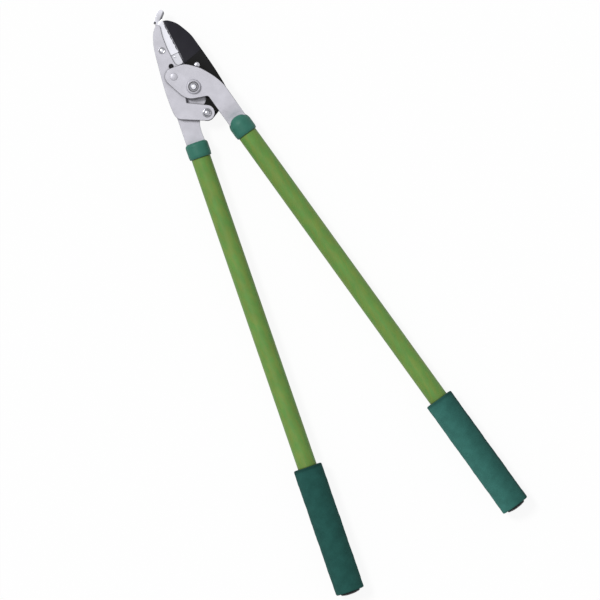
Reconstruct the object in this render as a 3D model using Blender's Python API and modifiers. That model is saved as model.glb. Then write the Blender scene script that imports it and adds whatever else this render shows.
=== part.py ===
"""Anvil lopper with a double lever, lying closed on its side.

Two long handles cross at the main bolt like scissors. Ahead of the bolt each handle ends in a
short link: the right handle's link carries the anvil jaw and the left handle's link carries the
blade. Behind the bolt a rear pivot joins the jaw to the blade, so four pivots make a kite that
spreads as the handles open. Everything is stacked in flat layers along Z, and the tool lies on
its two grips and on the end of the main bolt, where the origin is.

Units are metres. +Y runs from the main bolt to the tip of the jaws, +X to the blade's side and
+Z up, away from the surface that the tool lies on.
"""

from math import asin, atan2, ceil, copysign, cos, hypot, pi, radians, sin, sqrt

import bmesh
import bpy
from mathutils import Vector

# Fits
GAP = 0.0003
PIVOT_CLEARANCE = 0.0003
REAR_PIVOT_FLOAT = 0.00065

# Pivots in plan, from the main bolt
LINK_X = 0.0158
LINK_Y = 0.0221
REAR_PIVOT = 0.0354

# Steel
PLATE = 0.0030
LEFT_PLATE = 0.0040
BLADE = 0.0040
BLADE_EDGE = 0.0005
JAW_LENGTH = 0.0891
HEEL = 0.0302
GRIND_WIDTH = 0.0250
GRIND_SLOPE = radians(14.3)

# Anvil insert
CUT_LINE = 0.0031
TOOTH_PITCH = 0.00695
TOOTH_DEPTH = 0.0008
SCALLOP = ((0, 0), (0.12, 0.42), (0.28, 0.80), (0.50, 1), (0.72, 0.80), (0.88, 0.42))
TOOTHED_FROM = 0.0465
FIRST_TOOTH = 0.00225
LAST_TOOTH = 0.0030
LOWER_BLOCK_STEP = 0.0012
LOWER_BLOCK_SETBACK = 0.0006
BACK_PLATE_REACH = 0.0010
FRONT_NOTCH = (-0.0154, -0.0129)
BACK_NOTCH = (-0.0085, -0.0125)
INSERT_INSET = 0.0034
HOOK_RADIUS = 0.0042
HOOK_REACH = 0.0135
PORT_RADIUS = 0.0030

# Handles
TUBE_DIAMETER = 0.0240
TUBE_WALL = 0.0015
HANDLE_OFFSET = 0.0200
HANDLE_SPREAD = radians(8.4)
FERRULE_SHOULDER = 0.0662
FERRULE_SKIRT = 0.0148
FERRULE_WALL = 0.0008
RIGHT_FERRULE_CAP = 0.0106
RIGHT_FERRULE_ROUNDING = 0.84
LEFT_FERRULE_CAP = 0.0046
LEFT_FERRULE_ROUNDING = 0.30
TANG_INSET = 0.0002
TANG_LENGTH = 0.0400
TANG_SPREAD = 0.0050
LEFT_TANG_TOP = 0.0440
BEND_START = 0.0440
BEND_LENGTH = 0.0110
GRIP_START = 0.4803
GRIP_LENGTH = 0.1605
GRIP_DIAMETER = 0.0360
GRIP_CORNER = 0.0045
END_CAP_RIM = 0.0008
END_CAP_DOME = 0.0024
END_CAP_PLUG = 0.0180

# Main bolt
BOLT_RADIUS = 0.0040
BOLT_HEAD_RADIUS = 0.0056
BOLT_HEAD_FLANGE = 0.0008
BOLT_DOME_RADIUS = 0.0036
BOLT_DOME = 0.0026
CUP_RADIUS = 0.0090
CUP_FLOOR = 0.0012
CUP_RIM = 0.0022
BUSH_WALL = 0.0014
WASHER = 0.0015
WASHER_RADIUS = 0.0085
NUT_HEIGHT = 0.0065
NUT_FLATS = 0.0130

# Rivets
LINK_RIVET_RADIUS = 0.0036
LINK_RIVET_HEAD = 0.0046
LINK_RIVET_HEIGHT = 0.0012
SLEEVE_WALL = 0.0010
BLADE_RIVET_RADIUS = 0.0028
BLADE_RIVET_HEAD = 0.0037
BLADE_RIVET_HEIGHT = 0.0020
REAR_RIVET_RADIUS = 0.0035
REAR_RIVET_HEAD = 0.0056
REAR_RIVET_HEIGHT = 0.0012
REAR_DOME_RADIUS = 0.0030
REAR_DOME = 0.0014
SPACER_WALL = 0.0020
INSERT_RIVET_RADIUS = 0.0025
INSERT_RIVET_HEAD = 0.0042
INSERT_RIVET_HEIGHT = 0.0006
INSERT_DOME_RADIUS = 0.0019
SMALL_RIVET_RADIUS = 0.0010
SMALL_RIVET_HEAD = 0.0014
SMALL_RIVET_HEIGHT = 0.0007
TANG_RIVET_RADIUS = 0.0022
TANG_RIVET_SETBACK = 0.0090

# Smoothness
ARC_STEP = radians(12)
CORNER_STEP = radians(22.5)
FINE_STEPS = 40
RIVET_STEPS = 24

# Places in plan that follow from the sizes above
BOLT = (0.0, 0.0)
ANVIL_LINK = (-LINK_X, LINK_Y)
BLADE_LINK = (LINK_X, LINK_Y)
REAR = (0.0, -REAR_PIVOT)
UPPER_RIVET = (CUT_LINE - 0.0171, LINK_Y + 0.0350)
LOWER_RIVET = (CUT_LINE - 0.0064, LINK_Y + 0.0211)
PORT = (CUT_LINE - 0.0159, LINK_Y + 0.0127)

TUBE_RADIUS = TUBE_DIAMETER / 2
TUBE_BORE = TUBE_RADIUS - TUBE_WALL
GRIP_RADIUS = GRIP_DIAMETER / 2
GRIP_END = GRIP_START + GRIP_LENGTH
TUBE_START = FERRULE_SHOULDER + GAP
TANG_RIVET_AT = FERRULE_SHOULDER + TANG_RIVET_SETBACK
TANG_HALF = TUBE_RADIUS - TANG_INSET
RIGHT_STACK = 2 * PLATE + TANG_SPREAD
FERRULE_RADIUS = hypot(TANG_HALF + GAP, RIGHT_STACK / 2 + GAP) + FERRULE_WALL
RIGHT_TANGS = (((TANG_SPREAD + PLATE) / 2, PLATE), (-(TANG_SPREAD + PLATE) / 2, PLATE))
LEFT_TANGS = ((0, LEFT_PLATE),)
BUSH_RADIUS = BOLT_RADIUS + PIVOT_CLEARANCE + BUSH_WALL

# Height of the handles' middle plane over the surface that the tool lies on
PLANE = GRIP_RADIUS


def above(layer, thickness):
    """The layer of that thickness that lies just over the given one."""
    return layer[1] + GAP, layer[1] + GAP + thickness


def below(layer, thickness):
    """The layer of that thickness that lies just under the given one."""
    return layer[0] - GAP - thickness, layer[0] - GAP


# Layers along Z, each as bottom and top
LEFT_LAYER = (PLANE - LEFT_PLATE / 2, PLANE + LEFT_PLATE / 2)
BLADE_LAYER = above(LEFT_LAYER, BLADE)
ANVIL_FRONT = above(BLADE_LAYER, PLATE)
RIGHT_FRONT = above(ANVIL_FRONT, PLATE)
ANVIL_BACK = below(LEFT_LAYER, PLATE)
RIGHT_BACK = below(ANVIL_BACK, PLATE)
INSERT_LAYER = (ANVIL_BACK[1] + GAP, ANVIL_FRONT[0] - GAP)
CUP_LAYER = above(RIGHT_FRONT, CUP_FLOOR)
WASHER_LAYER = below(RIGHT_BACK, WASHER)
NUT_LAYER = below(WASHER_LAYER, NUT_HEIGHT)

RIGHT_SIDE = 1
LEFT_SIDE = -1


def remove_default_objects():
    for item in list(bpy.data.objects):
        bpy.data.objects.remove(item)


def new_collection(name):
    collection = bpy.data.collections.new(name)
    bpy.context.scene.collection.children.link(collection)
    return collection


def new_material(name, colour, roughness, metallic):
    material = bpy.data.materials.new(name)
    material.use_nodes = True
    shader = material.node_tree.nodes["Principled BSDF"]
    shader.inputs["Base Color"].default_value = (*colour, 1.0)
    shader.inputs["Roughness"].default_value = roughness
    shader.inputs["Metallic"].default_value = metallic
    material.diffuse_color = (*colour, 1.0)
    return material


def handle_point(side, along, across):
    """Plan point on a handle: along its axis from the bolt's line, and outwards from the axis."""
    x = HANDLE_OFFSET + along * sin(HANDLE_SPREAD) + across * cos(HANDLE_SPREAD)
    y = -along * cos(HANDLE_SPREAD) + across * sin(HANDLE_SPREAD)
    return side * x, y


def arc(centre, radius, start, turn, step_angle=ARC_STEP):
    """Points of an arc that starts at one angle and turns by another."""
    steps = max(1, ceil(abs(turn) / step_angle - 0.001))
    angles = [start + turn * step / steps for step in range(steps + 1)]
    return [(centre[0] + radius * cos(angle), centre[1] + radius * sin(angle)) for angle in angles]


def belt(discs):
    """Outline that runs clockwise round discs (x, y, radius), like a belt round pulleys.

    A disc of negative radius is passed on its other side, which makes a hollow fillet, and one of
    radius 0 is a sharp corner. A disc that the belt only grazes leaves one corner.
    """
    headings = []
    for (x0, y0, r0), (x1, y1, r1) in zip(discs, discs[1:] + discs[:1]):
        lean = asin((r0 - r1) / hypot(x1 - x0, y1 - y0))
        headings.append(atan2(y1 - y0, x1 - x0) - lean)
    points = []
    for index, (x, y, radius) in enumerate(discs):
        if radius == 0:
            points.append((x, y))
            continue
        turn = (headings[index] - headings[index - 1] + pi) % (2 * pi) - pi
        start = headings[index - 1] + pi / 2
        if turn * radius > 0 and abs(turn) < pi / 2:
            points += arc((x, y), radius, start + turn / 2, 0)[:1]
            continue
        if turn * radius > 0:
            turn -= copysign(2 * pi, turn)
        points += arc((x, y), radius, start, turn)
    return points


def smooth(points, steps=4):
    """Corners of an outline along a smooth curve through the points, for a belt."""
    path = [points[0], *points, points[-1]]
    corners = []
    for before, start, end, after in zip(path, path[1:], path[2:], path[3:]):
        for step in range(steps):
            t = step / steps
            weights = (
                (-t + 2 * t ** 2 - t ** 3) / 2,
                (2 - 5 * t ** 2 + 3 * t ** 3) / 2,
                (t + 4 * t ** 2 - 3 * t ** 3) / 2,
                (t ** 3 - t ** 2) / 2,
            )
            knots = (before, start, end, after)
            x = sum(weight * knot[0] for weight, knot in zip(weights, knots))
            y = sum(weight * knot[1] for weight, knot in zip(weights, knots))
            corners.append((x, y, 0))
    return [*corners, (*points[-1], 0)]


def circle(centre, radius, steps=RIVET_STEPS):
    return [
        (centre[0] + radius * cos(2 * pi * step / steps), centre[1] + radius * sin(2 * pi * step / steps))
        for step in range(steps)
    ]


def flat_mesh(name, outline, holes, thickness):
    """Closed mesh of a flat outline with holes, half its thickness to each side of its plane."""
    curve = bpy.data.curves.new(name, "CURVE")
    curve.dimensions = "2D"
    curve.fill_mode = "BOTH"
    curve.extrude = thickness / 2
    for points in [outline, *holes]:
        spline = curve.splines.new("POLY")
        spline.points.add(len(points) - 1)
        for target, (x, y) in zip(spline.points, points):
            target.co = (x, y, 0, 1)
        spline.use_cyclic_u = True
    holder = bpy.data.objects.new(name, curve)
    bpy.context.scene.collection.objects.link(holder)
    bpy.context.view_layer.update()
    evaluated = holder.evaluated_get(bpy.context.evaluated_depsgraph_get())
    mesh = bpy.data.meshes.new_from_object(evaluated)
    mesh.name = name
    bpy.data.objects.remove(holder)
    bpy.data.curves.remove(curve)
    work = bmesh.new()
    work.from_mesh(mesh)
    bmesh.ops.remove_doubles(work, verts=work.verts, dist=0.000001)
    bmesh.ops.recalc_face_normals(work, faces=work.faces)
    work.to_mesh(mesh)
    work.free()
    return mesh


def joggle(mesh, side, drop):
    """Bend the tang: past two lines across the handle, the plate lies lower by the drop."""
    work = bmesh.new()
    work.from_mesh(mesh)
    direction = Vector((side * sin(HANDLE_SPREAD), -cos(HANDLE_SPREAD), 0))
    origin = Vector((*handle_point(side, 0, 0), 0))
    for along in (BEND_START, BEND_START + BEND_LENGTH):
        bmesh.ops.bisect_plane(
            work,
            geom=work.verts[:] + work.edges[:] + work.faces[:],
            dist=0.000001,
            plane_co=origin + direction * along,
            plane_no=direction,
        )
    for vertex in work.verts:
        along = (vertex.co - origin).dot(direction)
        share = min(1, max(0, (along - BEND_START) / BEND_LENGTH))
        vertex.co.z -= drop * share
    work.to_mesh(mesh)
    work.free()


class Builder:
    """Places pieces in the object's collection and cutters in their own."""

    def __init__(self):
        self.parts = new_collection("anvil_lopper")
        self.guides = new_collection("lopper_joints")
        self.cutters = new_collection("lopper_cutters")

    def joint(self, name, place):
        """Empty on a joint's axis, which carries the pieces that turn there."""
        empty = bpy.data.objects.new(name, None)
        empty.empty_display_size = 0.02
        empty.location = (*place, PLANE)
        self.guides.objects.link(empty)
        bpy.context.view_layer.update()
        return empty

    def handle_axis(self, name, side, carrier):
        """Empty whose Z axis runs along a handle's tube, towards the jaws."""
        empty = bpy.data.objects.new(name, None)
        empty.empty_display_size = 0.02
        empty.location = (*handle_point(side, 0, 0), PLANE)
        empty.rotation_euler = (-pi / 2, 0, side * HANDLE_SPREAD)
        self.guides.objects.link(empty)
        bpy.context.view_layer.update()
        self.attach(empty, carrier)
        return empty

    def attach(self, item, carrier):
        """Parent an item to a carrier and leave it where it is."""
        item.parent = carrier
        item.matrix_parent_inverse = carrier.matrix_world.inverted()

    def place(self, name, mesh, material, location):
        item = bpy.data.objects.new(name, mesh)
        item.location = location
        mesh.materials.clear()
        mesh.materials.append(material)
        self.parts.objects.link(item)
        return item

    def plate(self, name, outline, holes, layer, carrier, material):
        """Flat plate in a layer, which turns with its carrier."""
        mesh = flat_mesh(name, outline, holes, layer[1] - layer[0])
        item = self.place(name, mesh, material, (0, 0, (layer[0] + layer[1]) / 2))
        self.attach(item, carrier)
        return item

    def turned_mesh(self, name, profile, hollow, steps):
        """Mesh turned about Z from a profile (radius, height) that runs down its outer side."""
        rim = bpy.data.meshes.new(name)
        edges = [(index, index + 1) for index in range(len(profile) - 1)]
        if hollow:
            edges.append((len(profile) - 1, 0))
        rim.from_pydata([(radius, 0, height) for radius, height in profile], edges, [])
        holder = bpy.data.objects.new(name, rim)
        bpy.context.scene.collection.objects.link(holder)
        screw = holder.modifiers.new("turn", "SCREW")
        screw.steps = steps
        screw.render_steps = steps
        screw.use_merge_vertices = True
        screw.merge_threshold = 0.000001
        bpy.context.view_layer.update()
        evaluated = holder.evaluated_get(bpy.context.evaluated_depsgraph_get())
        mesh = bpy.data.meshes.new_from_object(evaluated)
        mesh.name = name
        bpy.data.objects.remove(holder)
        bpy.data.meshes.remove(rim)
        mesh.shade_smooth()
        mesh.set_sharp_from_angle(angle=radians(35))
        return mesh

    def pin(self, name, place, profile, carrier, material, hollow=False, steps=RIVET_STEPS):
        """Upright turned piece at a plan place, its profile in heights over the surface."""
        mesh = self.turned_mesh(name, profile, hollow, steps)
        item = self.place(name, mesh, material, (*place, 0))
        self.attach(item, carrier)
        return item

    def sleeve(self, name, axis, profile, material, hollow=True, steps=FINE_STEPS):
        """Turned piece on a handle's axis, its profile in distances along the axis, as minus."""
        mesh = self.turned_mesh(name, profile, hollow, steps)
        item = self.place(name, mesh, material, (0, 0, 0))
        item.parent = axis
        return item

    def cut(self, item, name, mesh, location=(0, 0, 0), axis=None):
        """Cut an item with a closed mesh, which stays as a hidden guide."""
        cutter = bpy.data.objects.new(name, mesh)
        cutter.location = location
        cutter.parent = axis
        cutter.hide_render = True
        cutter.display_type = "WIRE"
        self.cutters.objects.link(cutter)
        modifier = item.modifiers.new(name, "BOOLEAN")
        modifier.operation = "DIFFERENCE"
        modifier.solver = "EXACT"
        modifier.object = cutter


def dome(radius, height, base, steps=4):
    """Profile of a domed end: from its top on the axis down to its rim at the base height."""
    return [
        (radius * sin(pi / 2 * step / steps), base + height * cos(pi / 2 * step / steps))
        for step in range(steps + 1)
    ]


def ring_profile(inner, outer, layer):
    return [(outer, layer[1]), (outer, layer[0]), (inner, layer[0]), (inner, layer[1])]


def box_mesh(name, size):
    mesh = bpy.data.meshes.new(name)
    work = bmesh.new()
    bmesh.ops.create_cube(work, size=1.0)
    bmesh.ops.scale(work, vec=size, verts=work.verts)
    work.to_mesh(mesh)
    work.free()
    return mesh


def cylinder_mesh(name, radius, length, steps=RIVET_STEPS):
    mesh = bpy.data.meshes.new(name)
    work = bmesh.new()
    bmesh.ops.create_cone(
        work, cap_ends=True, segments=steps, radius1=radius, radius2=radius, depth=length
    )
    work.to_mesh(mesh)
    work.free()
    return mesh


def tang(side, stack):
    """Corners of a tang, clockwise: down to its shoulders, then narrow enough for the tube."""
    end = FERRULE_SHOULDER + TANG_LENGTH
    narrow = side * sqrt((TUBE_BORE - GAP) ** 2 - (stack / 2) ** 2)
    wide = side * TANG_HALF
    corners = [(FERRULE_SHOULDER, wide), (FERRULE_SHOULDER, narrow), (end, narrow)]
    corners += [(end, -narrow), (FERRULE_SHOULDER, -narrow), (FERRULE_SHOULDER, -wide)]
    return [(*handle_point(side, along, across), 0) for along, across in corners]


def right_outline():
    """Right handle's plate: round the anvil link, over the bolt and down the tang."""
    crown = smooth([
        (ANVIL_LINK[0] + 0.0141, LINK_Y + 0.0090),
        (BLADE_LINK[0] - 0.0107, LINK_Y + 0.0062),
        (BLADE_LINK[0] + 0.0006, LINK_Y - 0.0038),
        (BLADE_LINK[0] + 0.0070, LINK_Y - 0.0126),
        handle_point(RIGHT_SIDE, 0.0017, TANG_HALF - 0.0033),
        handle_point(RIGHT_SIDE, 0.0155, TANG_HALF + 0.0001),
        handle_point(RIGHT_SIDE, 0.0300, TANG_HALF + 0.0004),
    ])
    hollow = handle_point(RIGHT_SIDE, 0.0185, -TANG_HALF - 0.0036)
    return belt([
        (*ANVIL_LINK, 0.0108),
        *crown,
        *tang(RIGHT_SIDE, RIGHT_STACK),
        (*hollow, -0.0036),
        (BOLT[0] + 0.0005, BOLT[1] + 0.0065, 0.0204),
    ])


def left_outline():
    """Left handle's plate: from the tang round the bolt to the blade's link."""
    shoulder = handle_point(LEFT_SIDE, 0.0215, TANG_HALF - 0.0070)
    inside = handle_point(LEFT_SIDE, LEFT_TANG_TOP, -TANG_HALF)
    return belt([
        (*BLADE_LINK, 0.0090),
        (REAR[0] + 0.0025, REAR[1] + 0.0149, 0.0035),
        (*REAR, -REAR_RIVET_RADIUS - PIVOT_CLEARANCE - SPACER_WALL - 0.0014),
        (*inside, 0),
        *tang(LEFT_SIDE, LEFT_PLATE),
        (*shoulder, 0.0070),
        (BOLT[0] - 0.0205, BOLT[1] - 0.0080, -0.0075),
        (*BOLT, 0.0110),
    ])


def flank_points():
    """Left side of the anvil jaw, upwards from the bolt's level to the tip."""
    return [
        (ANVIL_LINK[0] - 0.0203, ANVIL_LINK[1] - 0.0295),
        (ANVIL_LINK[0] - 0.0173, ANVIL_LINK[1] - 0.0091),
        (ANVIL_LINK[0] - 0.0119, ANVIL_LINK[1] + 0.0160),
        (CUT_LINE - 0.0251, JAW_LENGTH - 0.0269),
        (CUT_LINE - 0.0196, JAW_LENGTH - 0.0132),
        (CUT_LINE - 0.0150, JAW_LENGTH - 0.0061),
        (CUT_LINE - 0.0094, JAW_LENGTH - 0.0007),
    ]


def anvil_outline(right_edge, notch):
    """Anvil jaw's plate, from its tip down the right edge, through the notch to the rear pivot."""
    return belt([
        *right_edge,
        (*BOLT, -BUSH_RADIUS - 0.0063),
        (BOLT[0] + notch[0], BOLT[1] + notch[1], -0.0012),
        (*REAR, 0.0094),
        (REAR[0] - 0.0252, REAR[1] + 0.0168, 0.0116),
        *smooth(flank_points()),
    ])


def front_edge():
    """Right edge of the anvil's front plate, drawn back to show the insert."""
    side = smooth([
        (CUT_LINE - 0.0059, JAW_LENGTH - 0.0065),
        (CUT_LINE - 0.0084, JAW_LENGTH - 0.0160),
        (CUT_LINE - 0.0103, JAW_LENGTH - 0.0320),
        (CUT_LINE - 0.0106, LINK_Y + 0.0205),
    ], 3)
    return [
        (CUT_LINE - 0.0071, JAW_LENGTH - 0.0046, 0.0012),
        *side,
        (CUT_LINE - 0.0041, LINK_Y + 0.0154, -0.0064),
        (CUT_LINE - 0.0016, LINK_Y + 0.0061, 0.0020),
    ]


def back_edge():
    """Right edge of the anvil's back plate, which reaches a little under the blade's edge."""
    corner = 0.0020
    x = CUT_LINE + BACK_PLATE_REACH - corner
    return [
        (x, JAW_LENGTH - 0.0051, corner),
        (x, LINK_Y + 0.0064, corner),
    ]


def insert_outline():
    """Anvil insert: hook, teeth, lower block and the body between the plates."""
    inside = [(x + INSERT_INSET, y - INSERT_INSET / 4) for x, y in flank_points()[3:-1]]
    lean = radians(48)
    hook = (CUT_LINE - 0.0077 + HOOK_REACH * sin(lean), JAW_LENGTH + HOOK_REACH * cos(lean) + 0.0005)
    corners = [
        (*hook, HOOK_RADIUS),
        (CUT_LINE + 0.0001, JAW_LENGTH + 0.0021, 0),
    ]
    first = TOOTHED_FROM + FIRST_TOOTH
    count = int((JAW_LENGTH - LAST_TOOTH - first) / TOOTH_PITCH)
    peaks = [first + step * TOOTH_PITCH for step in range(count + 1)]
    peaks.append(JAW_LENGTH - LAST_TOOTH / 3)
    for top, bottom in zip(peaks[:0:-1], peaks[-2::-1]):
        width = top - bottom
        deepest = TOOTH_DEPTH * width / TOOTH_PITCH
        for share, depth in SCALLOP:
            corners.append((CUT_LINE - depth * deepest, top - share * width, 0))
    corners += [
        (CUT_LINE, first, 0),
        (CUT_LINE, TOOTHED_FROM, 0),
        (CUT_LINE - LOWER_BLOCK_SETBACK, TOOTHED_FROM, 0),
        (CUT_LINE - LOWER_BLOCK_SETBACK - 0.0025, LINK_Y + 0.0124, 0.0025),
        (CUT_LINE - 0.0115, LINK_Y + 0.0105, 0.0006),
        (CUT_LINE - 0.0121, LINK_Y + 0.0195, -0.0004),
        (CUT_LINE - 0.0250, LINK_Y + 0.0232, 0.0006),
        *smooth(inside),
        (CUT_LINE - 0.0086, JAW_LENGTH - 0.0024, 0),
        (CUT_LINE - 0.0086, JAW_LENGTH + 0.0021, 0.0022),
    ]
    return belt(corners)


def blade_outline():
    """Blade: from its tip round the spine to the rear pivot, and up the inner side to the heel."""
    edge = CUT_LINE + GAP
    spine = smooth([
        (edge, JAW_LENGTH),
        (edge + 0.0058, JAW_LENGTH - 0.0023),
        (edge + 0.0132, JAW_LENGTH - 0.0095),
        (edge + 0.0181, JAW_LENGTH - 0.0185),
        (edge + 0.0228, JAW_LENGTH - 0.0306),
        (BLADE_LINK[0] + 0.0122, BLADE_LINK[1] + 0.0266),
        (BLADE_LINK[0] + 0.0153, BLADE_LINK[1] + 0.0053),
        (BLADE_LINK[0] + 0.0178, BLADE_LINK[1] - 0.0155),
        (REAR[0] + 0.0350, REAR[1] + 0.0235),
    ])
    return belt([
        *spine,
        (REAR[0] + 0.0255, REAR[1] + 0.0112, 0.0095),
        (*REAR, 0.0099),
        (REAR[0] - 0.0030, REAR[1] + 0.0212, -0.0110),
        (BOLT[0] + BUSH_RADIUS + 0.0030, BOLT[1] + 0.0045, 0),
        (edge, HEEL, 0),
    ])


def pivot_hole(place, radius):
    return circle(place, radius + PIVOT_CLEARANCE)


def tang_hole(side):
    return circle(handle_point(side, TANG_RIVET_AT, 0), TANG_RIVET_RADIUS + GAP, 16)


def add_right_plates(build, carrier, material):
    """Two plates that straddle the jaws and bend together before they enter the tube."""
    holes = [
        pivot_hole(BOLT, BOLT_RADIUS),
        pivot_hole(ANVIL_LINK, LINK_RIVET_RADIUS),
        tang_hole(RIGHT_SIDE),
    ]
    front = build.plate("right_plate_front", right_outline(), holes, RIGHT_FRONT, carrier, material)
    joggle(front.data, RIGHT_SIDE, RIGHT_FRONT[0] - PLANE - TANG_SPREAD / 2)
    back = build.plate("right_plate_back", right_outline(), holes, RIGHT_BACK, carrier, material)
    joggle(back.data, RIGHT_SIDE, RIGHT_BACK[1] - PLANE + TANG_SPREAD / 2)


def add_left_plate(build, carrier, material):
    holes = [
        pivot_hole(BOLT, BOLT_RADIUS),
        pivot_hole(BLADE_LINK, BLADE_RIVET_RADIUS),
        tang_hole(LEFT_SIDE),
    ]
    build.plate("left_plate", left_outline(), holes, LEFT_LAYER, carrier, material)


def add_anvil_jaw(build, carrier, steel, bright):
    """Pair of plates with the toothed insert riveted between them."""
    pivots = [pivot_hole(ANVIL_LINK, LINK_RIVET_RADIUS), pivot_hole(REAR, REAR_RIVET_RADIUS)]
    upper = circle(UPPER_RIVET, INSERT_RIVET_RADIUS + GAP)
    lower = circle(LOWER_RIVET, SMALL_RIVET_RADIUS + GAP, 12)
    port = circle(PORT, PORT_RADIUS)
    front = anvil_outline(front_edge(), FRONT_NOTCH)
    back = anvil_outline(back_edge(), BACK_NOTCH)
    build.plate("anvil_plate_front", front, [*pivots, upper, port], ANVIL_FRONT, carrier, steel)
    build.plate("anvil_plate_back", back, [*pivots, upper, lower], ANVIL_BACK, carrier, steel)
    insert = build.plate("anvil_insert", insert_outline(), [upper, lower], INSERT_LAYER, carrier, bright)
    reach = TOOTHED_FROM - LINK_Y
    step = box_mesh("lower_block_step", (4 * reach, 2 * reach, 2 * LOWER_BLOCK_STEP))
    build.cut(insert, "lower_block_step", step, (CUT_LINE, LINK_Y, INSERT_LAYER[1]))


def add_blade(build, carrier, material):
    """Blade, ground on its front from a line across it to the edge at its back face."""
    hole = circle(REAR, REAR_RIVET_RADIUS + PIVOT_CLEARANCE + REAR_PIVOT_FLOAT)
    link = pivot_hole(BLADE_LINK, BLADE_RIVET_RADIUS)
    blade = build.plate("blade", blade_outline(), [hole, link], BLADE_LAYER, carrier, material)
    edge = CUT_LINE + GAP
    left = edge - GRIND_WIDTH / 5
    right = edge + 1.6 * GRIND_WIDTH
    beyond = JAW_LENGTH + GRIND_WIDTH / 2
    rise = sin(GRIND_SLOPE) / cos(GRIND_SLOPE)
    outline = [
        (left, HEEL + (left - edge) * rise),
        (left, beyond),
        (right, beyond),
        (right, HEEL + (right - edge) * rise),
    ]
    mesh = flat_mesh("grind", outline, [], 2 * BLADE)
    for vertex in mesh.vertices:
        if vertex.co.z < 0:
            vertex.co.z = BLADE_EDGE - BLADE / 2 + (BLADE - BLADE_EDGE) * (vertex.co.x - edge) / GRIND_WIDTH
    build.cut(blade, "grind", mesh, (0, 0, (BLADE_LAYER[0] + BLADE_LAYER[1]) / 2))


def add_main_bolt(build, carrier, bright, steel):
    """Bolt with a cupped washer in front, bushes between the plates, and washer and nut behind."""
    hole = BOLT_RADIUS + PIVOT_CLEARANCE
    rim_top = CUP_LAYER[1] + CUP_RIM
    rim = BOLT_HEAD_RADIUS + GAP
    cup = [
        (CUP_RADIUS - 0.0006, rim_top),
        (CUP_RADIUS, rim_top - 0.0006),
        (CUP_RADIUS, CUP_LAYER[0]),
        (hole, CUP_LAYER[0]),
        (hole, CUP_LAYER[1]),
        (rim, CUP_LAYER[1]),
        (rim, rim_top - 0.0006),
        (rim + 0.0006, rim_top),
    ]
    build.pin("pivot_washer_front", BOLT, cup, carrier, steel, hollow=True, steps=FINE_STEPS)
    head = CUP_LAYER[1] + GAP
    flange = head + BOLT_HEAD_FLANGE
    bolt = dome(BOLT_DOME_RADIUS, BOLT_DOME, flange)
    bolt += [(BOLT_HEAD_RADIUS, flange), (BOLT_HEAD_RADIUS, head), (BOLT_RADIUS, head)]
    bolt += [(BOLT_RADIUS, 0.0006), (BOLT_RADIUS - 0.0006, 0), (0, 0)]
    build.pin("pivot_bolt", BOLT, bolt, carrier, bright, steps=32)
    front = (LEFT_LAYER[1] + GAP, RIGHT_FRONT[0] - GAP)
    back = (RIGHT_BACK[1] + GAP, LEFT_LAYER[0] - GAP)
    build.pin("pivot_bush_front", BOLT, ring_profile(hole, BUSH_RADIUS, front), carrier, steel, hollow=True)
    build.pin("pivot_bush_back", BOLT, ring_profile(hole, BUSH_RADIUS, back), carrier, steel, hollow=True)
    washer = ring_profile(hole, WASHER_RADIUS, WASHER_LAYER)
    build.pin("pivot_washer_back", BOLT, washer, carrier, steel, hollow=True, steps=32)
    corner = NUT_FLATS / 2 / cos(pi / 6)
    build.plate("pivot_nut", circle(BOLT, corner, 6), [circle(BOLT, hole)], NUT_LAYER, carrier, steel)


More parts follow.
